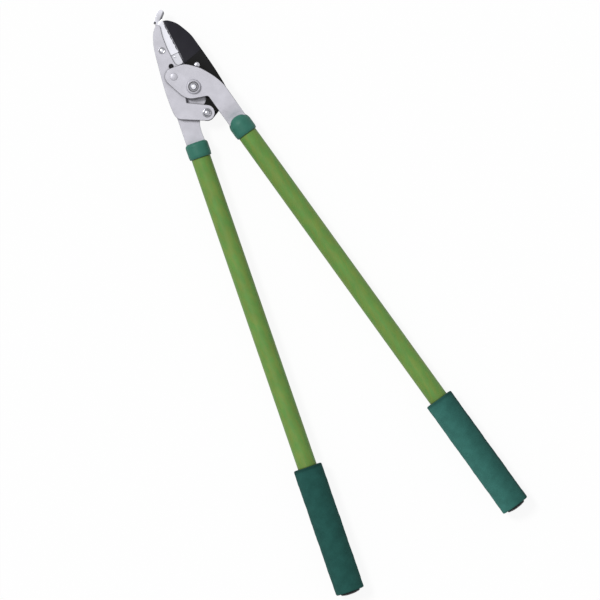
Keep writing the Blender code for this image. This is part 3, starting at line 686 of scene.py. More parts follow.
def rounded(corners: Sequence[Sequence[float]], closed: bool = False, steps: int = 6) -> Array:
    """Profile with its corners rounded.

    A corner becomes the curve (1 - t)^2 start + 2 t (1 - t) corner + t^2 end, whose start and end
    lie on the corner's two sides, at the fillet times the tangent of half the turn.

    Args:
        corners: radius, height, fillet and wear of each, where the wear also carries painted light and shade.
        closed: whether the profile is a loop.
        steps: points along each rounded corner.

    Returns:
        Radius, height and wear of each point, the wear also carrying painted light and shade.
    """
    table = np.array([(*corner, 0.0, 0.0)[:4] for corner in corners], float)
    place = table[:, :2]
    back = np.roll(place, 1, axis=0) - place
    ahead = np.roll(place, -1, axis=0) - place
    lengths = np.stack([np.linalg.norm(back, axis=1), np.linalg.norm(ahead, axis=1)], axis=1)
    back, ahead = back / lengths[:, :1], ahead / lengths[:, 1:]
    half_turn = np.arccos(np.clip(-(back * ahead).sum(axis=1), -1, 1)) / 2
    wanted = table[:, 2] * np.tan(np.minimum(half_turn, WIDEST_HALF_TURN))
    trim = np.minimum(wanted, FILLET_SHARE * lengths.min(axis=1))
    if not closed:
        trim[[0, -1]] = 0.0
    t = np.linspace(0, 1, steps)[None, :, None]
    start = (place + back * trim[:, None])[:, None]
    end = (place + ahead * trim[:, None])[:, None]
    curve = ((1 - t) ** 2 * start + 2 * t * (1 - t) * place[:, None] + t**2 * end).reshape(-1, 2)
    points = np.column_stack([curve, np.repeat(table[:, 3], steps)])
    moved = np.linalg.norm(np.diff(curve, axis=0, prepend=curve[:1] + 1.0), axis=1) > WELD
    return points[moved]


def dome(radius: float, rise: float, base: float, wear: float = 0.0, steps: int = 14) -> Array:
    """Radius, height and wear, which also carries painted light and shade, along a domed head, from its top
    down to its rim at the base.
    """
    # As an angle goes from 0 to 90 degrees, the radius is the head's times its sine, and the
    # height is the base plus the rise times its cosine. The wear fades with the cosine too.
    angle = np.linspace(0, pi / 2, steps)
    return np.column_stack([radius * np.sin(angle), base + rise * np.cos(angle), wear * np.cos(angle)])


def circle(steps: int) -> Array:
    """Angles that are evenly spaced once round."""
    return np.linspace(0, 2 * pi, steps, endpoint=False)


def turned(axis: Axis, profile: Array, closed: bool = False, steps: int = 72) -> Patch:
    """Surface of a profile of radius, height and wear with painted light and shade, a loop or not, carried
    round an axis.
    """
    points = axis.wrap(profile[:, :1], profile[:, 1:2], circle(steps)[None])
    return grid_patch(points, profile[:, 2:3], wrap_rows=closed)


@dataclass(frozen=True)
class Workshop:
    """Turns patches into pieces that ride on a body and stand for a CAD node."""

    finishes: dict[Slot, bpy.types.Material]

    def piece(
        self, node: str, patches: Sequence[Patch], body: Body, slot: Slot, sharp: float = 30.0
    ) -> bpy.types.Object:
        """Make the piece that is seen in a CAD node's place.

        Args:
            node: the CAD node.
            patches: the piece's surface.
            body: what it rides on.
            slot: its finish.
            sharp: angle in degrees from which an edge is drawn sharp.

        Returns:
            The piece.
        """
        name = node + "_finished"
        mesh = make_mesh(name, patches, sharp)
        mesh.materials.append(self.finishes[slot])
        item = placed(name, mesh)
        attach(item, body.value)
        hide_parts(node)
        log.info("%s: %d faces in %s", name, len(mesh.polygons), slot.value)
        return item

    def ring(
        self, node: str, axis: Axis, body: Body, bore: float, fillet: float = 0.0002
    ) -> bpy.types.Object:
        """Make a steel ring with rounded edges, as long and as wide as its CAD node.

        Args:
            node: the CAD node.
            axis: the ring's axis.
            body: what it rides on.
            bore: inner radius.
            fillet: radius of its edges.

        Returns:
            The piece.
        """
        low, high, radius = axis.measure(node)
        corners = [(bore, low), (bore, high), (radius, high), (radius, low)]
        profile = rounded([(*corner, fillet, PLAIN_WEAR) for corner in corners], closed=True)
        return self.piece(node, [turned(axis, profile, closed=True)], body, Slot.SATIN_STEEL, TURNED_SHARP)

    def keep(self, node: str, slot: Slot) -> None:
        """Leave a CAD node in view and give it its finish.

        Args:
            node: the CAD node.
            slot: its finish.
        """
        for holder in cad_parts[node].material_slots:
            holder.material = self.finishes[slot]
        log.info("%s: kept as it is, in %s", node, slot.value)


# Pressed plates


@dataclass(frozen=True)
class Crease:
    """Straight line across a plate in plan, along which its mesh has an edge."""

    place: Place
    heading: Place

    def side(self, plan: Array) -> Array:
        """Signed distance of plan points from the line, positive on its left."""
        offset = plan - self.place
        return self.heading[0] * offset[..., 1] - self.heading[1] * offset[..., 0]

    def reach(self, plan: Array) -> Array:
        """How far along the line plan points lie."""
        return (plan - self.place) @ np.array(self.heading)

    def shifted(self, distance: float) -> "Crease":
        """The line moved to its left by a distance."""
        x, y = self.place
        return Crease((x - self.heading[1] * distance, y + self.heading[0] * distance), self.heading)


def plan_loops(node: str) -> list[Array]:
    """Outline and holes of a CAD plate, from its underside.

    Args:
        node: the CAD node.

    Returns:
        Loops of plan points, each with the plate on its left.
    """
    # The node is loose triangles, so the points that are one are merged first
    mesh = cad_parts[node].data
    mesh.calc_loop_triangles()
    corners = np.empty(len(mesh.loop_triangles) * 3, np.int32)
    mesh.loop_triangles.foreach_get("vertices", corners)
    points = node_points(node)
    _, first, merged = np.unique(
        np.round(points / WELD).astype(np.int64), axis=0, return_index=True, return_inverse=True
    )
    points, triangles = points[first], merged.reshape(-1)[corners].reshape(-1, 3)

    # Of the triangles that look down, the sides that none shares with another are the loops
    sides = points[triangles[:, 1:]] - points[triangles[:, :1]]
    normal = np.cross(sides[:, 0], sides[:, 1])
    under = triangles[normal[:, 2] < -0.5 * np.linalg.norm(normal, axis=1)][:, ::-1]
    edges = np.concatenate([under[:, [0, 1]], under[:, [1, 2]], under[:, [2, 0]]])
    border = edges[~np.isin(edges @ [len(points), 1], edges @ [1, len(points)])]
    follow = dict(border.tolist())
    loops = []
    while follow:
        start, step = follow.popitem()
        loop = [start]
        while step != start:
            loop.append(step)
            step = follow.pop(step)
        loops.append(points[loop, :2])
    return loops


def steps_of(count: Indices) -> tuple[Indices, Indices]:
    """Side and step of every point of a loop whose sides have these numbers of points."""
    step = np.arange(count.sum()) - np.repeat(np.cumsum(count) - count, count)
    return np.repeat(np.arange(len(count)), count), step


def refined(loop: Array, sharp: float = radians(38), fine: float = radians(4)) -> Array:
    """Loop with its curved stretches drawn finer.

    Each side from a to b becomes the Hermite curve
    (2 t^3 - 3 t^2 + 1) a + (t^3 - 2 t^2 + t) u + (3 t^2 - 2 t^3) b + (t^3 - t^2) v,
    where u and v have the side's length and point from the corner before to the corner after, or
    along the side itself at a sharp corner.

    Args:
        loop: plan points.
        sharp: turn in radians from which a corner stays sharp.
        fine: largest turn in radians that is left between two points of a curve.

    Returns:
        The finer loop.
    """
    side = np.roll(loop, -1, axis=0) - loop
    length = np.linalg.norm(side, axis=1, keepdims=True)
    heading = side / length
    before = np.roll(heading, 1, axis=0)
    turn = np.arccos(np.clip((before * heading).sum(axis=1), -1, 1))
    soft = turn < sharp
    chord = np.roll(loop, -1, axis=0) - np.roll(loop, 1, axis=0)
    chord /= np.linalg.norm(chord, axis=1, keepdims=True)
    leave = np.where(soft[:, None], chord, heading) * length
    arrive = np.where(np.roll(soft, -1)[:, None], np.roll(chord, -1, axis=0), heading) * length
    bend = np.where(soft, turn, 0)
    count = np.maximum(1, np.ceil(np.maximum(bend, np.roll(bend, -1)) / fine)).astype(int)
    index, step = steps_of(count)
    t = (step / count[index])[:, None]
    after = np.roll(loop, -1, axis=0)[index]
    return (
        (2 * t**3 - 3 * t**2 + 1) * loop[index]
        + (t**3 - 2 * t**2 + t) * leave[index]
        + (3 * t**2 - 2 * t**3) * after
        + (t**3 - t**2) * arrive[index]
    )


def inside(plan: Array, loops: Iterable[Array]) -> NDArray[np.bool_]:
    """Whether points lie inside an outline and outside its holes.

    A ray from the point towards +X crosses the loops an odd number of times.

    Args:
        plan: points in plan.
        loops: the outline and the holes.

    Returns:
        One truth value a point.
    """
    odd = np.zeros(len(plan), bool)
    x, y = plan[:, :1], plan[:, 1:]
    for loop in loops:
        (x0, y0), (x1, y1) = loop.T, np.roll(loop, -1, axis=0).T
        spans = (y0 > y) != (y1 > y)
        rise = np.where(y1 == y0, 1.0, y1 - y0)
        odd ^= (spans & (x < (x1 - x0) * (y - y0) / rise + x0)).sum(axis=1) % 2 == 1
    return odd


def crossed(loop: Array, side: Array) -> Array:
    """Loop with a point added wherever a value along it changes sign.

    Args:
        loop: plan points.
        side: the value at each.

    Returns:
        The points of the loop.
    """
    after = np.roll(side, -1)
    cut = np.flatnonzero(side * after < 0)
    share = (side[cut] / (side - after)[cut])[:, None]
    ahead = np.roll(loop, -1, axis=0)[cut]
    return np.insert(loop, cut + 1, loop[cut] + share * (ahead - loop[cut]), axis=0)


def distance(plan: Array, loops: Iterable[Array]) -> Array:
    """Distance to the nearest side of any loop.

    The nearest point of a side is its start plus the side times a share from 0 to 1, which is the
    offset from the start times the side, over the square of the side's length.

    Args:
        plan: points in plan.
        loops: the points of each loop.

    Returns:
        The distance of each point.
    """
    nearest = []
    for loop in loops:
        side = np.roll(loop, -1, axis=0) - loop
        offset = plan[..., None, :] - loop
        share = np.clip((offset * side).sum(axis=-1) / (side**2).sum(axis=-1), 0, 1)
        nearest.append(np.linalg.norm(offset - share[..., None] * side, axis=-1).min(axis=-1))
    return np.min(nearest, axis=0)


def beside(loop: Array, far: float, pitch: float = 0.0006) -> Array:
    """Points along the right of a loop, evenly spaced on each of its sides.

    Args:
        loop: plan points.
        far: distance from the loop.
        pitch: distance between the points.

    Returns:
        The points.
    """
    side = np.roll(loop, -1, axis=0) - loop
    length = np.linalg.norm(side, axis=1)
    count = np.ceil(length / pitch).astype(int)
    index, step = steps_of(count)
    share = (step + 0.5) / count[index]
    out = np.column_stack([side[:, 1], -side[:, 0]]) / length[:, None]
    return loop[index] + side[index] * share[:, None] + out[index] * far


@dataclass
class PressedPlate:
    """Plate with rolled edges that follows the outline and holes of a CAD node.

    The edge is the radius of the rolled edge, and the margin the narrow flat ring inside it. The
    mesh has edges along the creases and round the dimples, and points at the dots.
    """

    node: str
    body: Body
    slot: Slot = Slot.SATIN_STEEL
    edge: float = 0.00045
    margin: float = 0.00014
    creases: Sequence[Crease] = ()
    dimples: Sequence[Disc] = ()
    dots: Array = field(default_factory=lambda: np.empty((0, 2)))
    edge_steps: int = 4
    # Value along the rolled edges: where negative, painted shade that darkens the plate's outline; where
    # positive, real wear
    edge_wear: float = -0.55
    low: float = field(init=False)
    high: float = field(init=False)

    def __post_init__(self) -> None:
        """Read the plate's height from the CAD node."""
        low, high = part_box(self.node)
        self.low, self.high = low.z, high.z

    def floor(self, plan: Array) -> Array:
        """Height of the underside at plan points."""
        return np.full(plan.shape[:-1], self.low)

    def roof(self, plan: Array) -> Array:
        """Height of the upper face at plan points."""
        return np.full(plan.shape[:-1], self.high)

    def wear(self, plan: Array) -> Array:
        """Wear, painted light and painted shade of the upper face at plan points: none on a plain plate."""
        return np.zeros(plan.shape[:-1])

    def tone(self, plan: Array) -> Array:
        """Tone of the upper face at plan points."""
        return np.zeros(plan.shape[:-1])

    def loops(self) -> list[Array]:
        """Fine outline and holes, with a point wherever a crease crosses them.

        Returns:
            The loops.
        """
        made = []
        for loop in map(refined, plan_loops(self.node)):
            for crease in self.creases:
                loop = crossed(loop, crease.side(loop))
            for x, y, radius in self.dimples:
                loop = crossed(loop, np.hypot(*(loop - (x, y)).T) - radius)
            made.append(loop)
        return made

    def inward(self, loop: Array) -> tuple[Array, Array]:
        """How each point of a loop moves when the loop is drawn in.

        The move for a unit inset is (n + m) / (1 + n m), with n and m the normals of the two sides
        that meet there, so each side moves straight in. Where a convex corner would eat up the
        short sides next to it, the inset shrinks.

        Args:
            loop: plan points.

        Returns:
            The move for a unit inset, and the largest inset, at each point.
        """
        side = np.roll(loop, -1, axis=0) - loop
        length = np.linalg.norm(side, axis=1)
        normal = np.stack([-side[:, 1], side[:, 0]], axis=1) / length[:, None]
        before = np.roll(normal, 1, axis=0)
        match = np.clip((normal * before).sum(axis=1), LEAST_COSINE, 1)
        move = (normal + before) / (1 + match)[:, None]
        convex = before[:, 0] * normal[:, 1] - before[:, 1] * normal[:, 0] > 0
        eaten = np.where(convex, np.sqrt((1 - match) / (1 + match)), 0)
        room = INSET_SHARE * length / np.maximum(eaten + np.roll(eaten, -1), TINY)
        return move, np.minimum(room, np.roll(room, 1))

    def rim(self, loop: Array) -> tuple[Patch, Array]:
        """Wall along a loop, with a quarter round at its foot and at its top.

        Through each quarter round the inset is the radius times (1 - sine of an angle), and the
        distance from the face is the radius times (1 - cosine of it).

        Args:
            loop: plan points.

        Returns:
            The wall, and the plan points at which both flat faces start.
        """
        move, room = self.inward(loop)
        radius = np.minimum(self.edge, EDGE_SHARE * (self.roof(loop) - self.floor(loop)))
        total = np.minimum(radius + self.margin, room)
        radius = radius * total / (radius + self.margin)
        angle = np.linspace(0, pi / 2, self.edge_steps + 1)[:, None]
        inset = np.vstack([total, radius * (1 - np.sin(angle))])
        depth = np.vstack([0 * total, radius * (1 - np.cos(angle))])
        plan = loop + move * inset[..., None]
        foot = np.dstack([plan, self.floor(plan) + depth])
        crown = np.dstack([plan, self.roof(plan) - depth])[::-1]
        # The rolled edge is painted dark along the outline, as shade on it, on all plates but the blade,
        # whose edges are worn bright
        worn_and_shaded = np.vstack([[0.0], np.sin(angle) ** 0.5]) * self.edge_wear
        wear = np.vstack([worn_and_shaded, worn_and_shaded[::-1]]) + np.vstack([0 * depth, self.wear(plan)[::-1]])
        wall = grid_patch(np.concatenate([foot, crown]), wear)
        tone = np.vstack([0 * depth, self.tone(plan)[::-1]]).ravel()
        return Patch(wall.points, wall.faces, wall.wear, tone), plan[0]

    def chords(self, loops: Sequence[Array]) -> list[tuple[int, int]]:
        """Pairs of loop points between which the creases run.

        Args:
            loops: the loops that the creases cross.

        Returns:
            Numbers of the points, counted through all loops.
        """
        plan = np.concatenate(loops)
        pairs = []
        for crease in self.creases:
            on_line = np.flatnonzero(np.abs(crease.side(plan)) < ON_LINE)
            ordered = on_line[np.argsort(crease.reach(plan[on_line]))]
            pairs += list(zip(ordered[::2].tolist(), ordered[1::2].tolist()))
        return pairs

    def cap(self, rings: Sequence[Array], chords: list[tuple[int, int]], top: bool) -> Patch:
        """One face of the plate, inside its rims.

        A triangle whose corners are all on one ring is part of the plate where they come in the
        same order round the triangle as along the ring. Any other triangle always is.

        Args:
            rings: plan points at which the face starts, round the outline and each hole.
            chords: pairs of ring points between which a crease runs.
            top: whether it is the upper face.

        Returns:
            The face.
        """
        # Points of the rings and of the circles round the dimples, with each one's loop and the
        # point after it. Of a circle, only the points within the plate are held.
        angle = circle(32)
        unit = np.column_stack([np.cos(angle), np.sin(angle)])
        dimples = self.dimples if top else ()
        circles = [(x, y) + share * r * unit for x, y, r in dimples for share in (1, 1 - DIMPLE_WALL)]
        sizes = [len(loop) for loop in (*rings, *circles)]
        owner = np.repeat(np.arange(len(sizes)), sizes)
        after = np.arange(1, len(owner) + 1)
        after[np.cumsum(sizes) - 1] -= sizes
        plan = np.concatenate([*rings, *circles])
        held = (owner < len(rings)) | inside(plan, rings)
        number = np.cumsum(held) - 1
        pairs = np.column_stack([number, number[after]])[held & held[after]]
        dots = self.dots if top else self.dots[:0]
        corners = list(map(Vector, np.concatenate([plan[held], dots])))
        made = geometry.delaunay_2d_cdt(corners, pairs.tolist() + chords, [], 0, TINY)
        plan, faces = np.array(made[0]), np.array(made[2])

        # Triangles outside the plate are dropped
        ring = np.full(len(plan), len(rings))
        ring[: held.sum()] = np.minimum(owner[held], len(rings))
        one = (ring[faces] == ring[faces[:, :1]]).all(axis=1) & (ring[faces[:, 0]] < len(rings))
        onward = (np.roll(faces, -1, axis=1) > faces).sum(axis=1) == 2
        faces = faces[onward | ~one]
        height = self.roof(plan) if top else self.floor(plan)
        wear, tone = (self.wear(plan), self.tone(plan)) if top else (0 * height, 0 * height)
        return Patch(np.column_stack([plan, height]), faces, wear, tone)

    def build(self, shop: Workshop) -> bpy.types.Object:
        """Make the plate.

        Args:
            shop: where pieces are made.

        Returns:
            The piece.
        """
        loops = self.loops()
        rims = [self.rim(loop) for loop in loops]
        rings = [ring for _, ring in rims]
        chords = self.chords(loops)
        caps = [self.cap(rings, chords, top) for top in (False, True)]
        return shop.piece(self.node, [*(wall for wall, _ in rims), *caps], self.body, self.slot)


@dataclass
class BentPlate(PressedPlate):
    """Plate of the right handle, which bends towards the handle's middle before the ferrule."""

    edge: float = 0.0006
    edge_wear: float = -0.85
    way: int = 1
    thickness: float = 0.0030
    bend_start: float = 0.0440
    bend_length: float = 0.0110
    bend_round: float = 0.0030
    handle: HandleLine = HandleLine(Side.RIGHT)
    drop: float = field(init=False)

    def __post_init__(self) -> None:
        """Work out the drop, down or up, and lay the creases through both bends."""
        super().__post_init__()
        self.drop = self.way * (self.high - self.low - self.thickness)
        (x, y), (u, v) = self.handle.origin, self.handle.heading
        steps = np.linspace(-self.bend_round, self.bend_round, 7)
        places = np.concatenate([self.bend_start + steps, self.bend_start + self.bend_length + steps])
        self.creases = [Crease((x + u * far, y + v * far), (v, -u)) for far in places]

    def past(self, plan: Array) -> Array:
        """How far along the handle plan points lie past the first bend."""
        return (plan - self.handle.origin) @ self.handle.heading - self.bend_start

    def ramp(self, far: Array) -> Array:
        """0 before a bend, the distance past it after its round, and a smooth curve between."""
        # The curve is (distance + round)^2 / (4 round).
        turn = self.bend_round
        return np.where(far < turn, np.maximum(far + turn, 0) ** 2 / (4 * turn), far)

    def eased(self, far: Array) -> Array:
        """0 before a bend's round, 1 after it, and an even rise between."""
        return np.clip(far / (2 * self.bend_round) + 0.5, 0, 1)

    def wear(self, plan: Array) -> Array:
        """1 on the slope between the bends: painted light, which lightens the slope against its shade."""
        far = self.past(plan)
        return self.eased(far) - self.eased(far - self.bend_length)

    def floor(self, plan: Array) -> Array:
        """Height of the underside, which drops evenly between the bends.

        Args:
            plan: points in plan.

        Returns:
            The height at each.
        """
        far = self.past(plan)
        bent = (self.ramp(far) - self.ramp(far - self.bend_length)) / self.bend_length
        start = self.high - self.thickness if self.drop > 0 else self.low
        return start - self.drop * bent

    def roof(self, plan: Array) -> Array:
        """Height of the upper face, which follows the underside."""
        return self.floor(plan) + self.thickness


@dataclass
class Blade(PressedPlate):
    """Blade with a long ground face that ends at a line across it."""

    slot: Slot = Slot.BLADE_COATING
    edge: float = 0.0003
    edge_wear: float = 0.22
    cutting_edge: float = 0.0034
    heel: float = 0.03025
    slope: float = radians(14.3)
    ground_width: float = 0.0250
    ground_fade: float = 0.0010
    edge_thickness: float = 0.0005
    run_out: float = 0.0014
    bare: float = 0.0010
    bare_fade: float = 0.0005

    def __post_init__(self) -> None:
        """Lay the creases along the ends of the ground face and of its bare edge."""
        super().__post_init__()
        self.line = Crease((self.cutting_edge, self.heel), (cos(self.slope), sin(self.slope)))
        self.creases = [self.line.shifted(share * self.run_out) for share in (0, 0.2, 0.45, 0.75, 1)]
        for far in (self.bare, self.ground_width):
            self.creases.append(Crease((self.cutting_edge + far, 0.0), (0.0, 1.0)))

    def ground(self, plan: Array) -> Array:
        """Share of the full grinding, from 0 to 1, that is reached at plan points."""
        # A quarter round as a wheel leaves it: the square root of 1 - (1 - s)^2, with s the
        # distance past the line over the run-out.
        short = np.clip(1 - self.line.side(plan) / self.run_out, 0, 1)
        return np.sqrt(1 - short**2)

    def roof(self, plan: Array) -> Array:
        """Height of the upper face, which falls straight to the edge where it is ground.

        Args:
            plan: points in plan.

        Returns:
            The height at each.
        """
        full = self.high - self.low - self.edge_thickness
        away = np.clip((plan[..., 0] - self.cutting_edge) / self.ground_width, 0, 1)
        return self.high - full * (1 - away) * self.ground(plan)

    def tone(self, plan: Array) -> Array:
        """1 on the ground face, fading past its far side."""
        past = plan[..., 0] - self.cutting_edge - self.ground_width
        return self.ground(plan) * np.clip(1 - past / self.ground_fade, 0, 1)

    def wear(self, plan: Array) -> Array:
        """1 along the cutting edge, where the coat is ground off."""
        near = np.clip((self.bare - plan[..., 0] + self.cutting_edge) / self.bare_fade, 0, 1)
        return np.where(self.line.side(plan) > self.run_out, near, 0.0)


@dataclass
class PortShadedPlate(PressedPlate):
    """Plate whose upper face is painted dark within its marked circles, as shade under a hole that lies over
    it.
    """

    dark_share: float = 0.95

    def wear(self, plan: Array) -> Array:
        """-1, painted shade, within a marked circle."""
        far = [np.hypot(plan[..., 0] - x, plan[..., 1] - y) - self.dark_share * r for x, y, r in self.dimples]
        return np.where(np.min(far, axis=0) < 0, -1.0, 0.0)


@dataclass
class CoveredPlate(PressedPlate):
    """Plate with painted shadow along the edges of the plates that lie over it.

    The shadow is the width of the painted shadow lines; the next field gives how dark they are painted at the
    cover's edge.
    """

    covers: Sequence[str] = ("right_plate_front",)
    shadow: float = 0.0009
    painted_shade: float = 0.8
    full_dark: float = 1.1
    first_dots: float = 0.0001
    clearance: float = 0.0003

    def __post_init__(self) -> None:
        """Lay points along both borders of the painted shadow lines, clear of the plate's own rims."""
        super().__post_init__()
        self.borders = [max(map(refined, plan_loops(cover)), key=len) for cover in self.covers]
        mine = [refined(loop) for loop in plan_loops(self.node)]
        ways = (self.first_dots, self.first_dots + self.shadow)
        dots = np.concatenate([beside(border, far) for border in self.borders for far in ways])
        clear = distance(dots, mine) > self.edge + self.margin + self.clearance
        self.dots = dots[inside(dots, mine) & clear]

    def wear(self, plan: Array) -> Array:
        """Painted shadow along the covers' edges, fading out over the shadow's width."""
        far = distance(plan, self.borders)
        return -self.painted_shade * np.clip(self.full_dark - far / self.shadow, 0, 1)


@dataclass
class AnvilInsert(CoveredPlate):
    """Toothed insert with a lower block a step down and a hook whose side is cut back."""

    slot: Slot = Slot.BRIGHT_STEEL
    edge: float = 0.00016
    margin: float = 0.00005
    edge_wear: float = -0.3
    covers: Sequence[str] = ("anvil_plate_front",)
    # Share of the step's painted shade that stays on the whole lower block
    lower_painted_shade: float = 0.22
    step_at: float = 0.0465
    step: float = 0.0012
    slope: float = 0.0002
    hook_from: float = 0.0910
    hook_slope: float = 0.0001
    hook_cut: float = 0.0021
    hook_depth: float = 0.0024
    hook_corner: Place = (0.0032, 0.0912)
    hook_lean: float = radians(48)

    def __post_init__(self) -> None:
        """Lay the creases of the step and of the hook's cut side."""
        super().__post_init__()
        side = Crease(self.hook_corner, (sin(self.hook_lean), cos(self.hook_lean)))
        self.side_line = side.shifted(self.hook_cut)
        foot = self.step_at - self.slope
        levels = (self.step_at, foot, foot - self.shadow, self.hook_from, self.hook_from + self.hook_slope)
        self.creases = [Crease((0.0, level), (1.0, 0.0)) for level in levels]
        self.creases += [self.side_line, self.side_line.shifted(-self.slope)]

    def cut_back(self, plan: Array) -> Array:
        """Share by which a point lies in the hook's cut side or in its blind hole.

        Args:
            plan: points in plan.

        Returns:
            0 or 1 at each, with a short slope between.
        """
        beyond = np.clip(-self.side_line.side(plan) / self.slope, 0, 1)
        share = beyond * np.clip((plan[..., 1] - self.hook_from) / self.hook_slope, 0, 1)
        for x, y, radius in self.dimples:
            far = np.hypot(plan[..., 0] - x, plan[..., 1] - y)
            share = np.maximum(share, np.clip((radius - far) / (DIMPLE_WALL * radius), 0, 1))
        return share

    def roof(self, plan: Array) -> Array:
        """Height of the upper face, less the step and the cut side."""
        lower = np.clip((self.step_at - plan[..., 1]) / self.slope, 0, 1)
        return self.high - self.step * lower - self.hook_depth * self.cut_back(plan)

    def wear(self, plan: Array) -> Array:
        """Painted shade in the hook's cut side and hole, below the step and along the cover's edge.

        Args:
            plan: points in plan.

        Returns:
            The wear at each.
        """
        below = self.step_at - self.slope - plan[..., 1]
        fading = np.clip(1 - below / self.shadow, self.lower_painted_shade, 1)
        step = np.where(below > -self.slope / 2, fading, 0)
        return np.minimum(super().wear(plan), -np.maximum(self.cut_back(plan), self.painted_shade * step))


# Sub-assemblies


@dataclass
class HandlePlates:
    """Steel plates of both handles, up to their links."""

    # Width and darkness of the painted shadow on the left plate along the plates over it
    shadow: float = 0.0016
    painted_shade: float = 0.6

    def build(self, shop: Workshop) -> list[bpy.types.Object]:
        """Make the two bent plates of the right handle and the flat one of the left.

        Args:
            shop: where pieces are made.

        Returns:
            The pieces.
        """
        covers = ("right_plate_front", "anvil_plate_front")
        plates = [
            BentPlate("right_plate_front", Body.RIGHT),
            BentPlate("right_plate_back", Body.RIGHT, way=-1),
            CoveredPlate("left_plate", Body.LEFT, covers=covers, shadow=self.shadow, painted_shade=self.painted_shade),
        ]
        return [plate.build(shop) for plate in plates]


@dataclass
class Jaws:
    """Anvil jaw's two plates with the insert between them, and the blade."""

    # Width and darkness of the painted shadow on the anvil's front plate along the right plate over it
    shadow: float = 0.0017
    painted_shade: float = 0.38
    blind_hole: Disc = (-0.0061, 0.0910, 0.0015)
    # Circle of painted shade on the back plate, under the port in the front plate
    under_port: Disc = (-0.0128, 0.0348, 0.0045)

    def build(self, shop: Workshop) -> list[bpy.types.Object]:
        """Make the jaws.

        Args:
            shop: where pieces are made.

        Returns:
            The pieces.
        """
        plates = [
            CoveredPlate("anvil_plate_front", Body.ANVIL, shadow=self.shadow, painted_shade=self.painted_shade),
            PortShadedPlate("anvil_plate_back", Body.ANVIL, dimples=[self.under_port]),
            AnvilInsert("anvil_insert", Body.ANVIL, dimples=[self.blind_hole]),
            Blade("blade", Body.BLADE),
        ]
        return [plate.build(shop) for plate in plates]


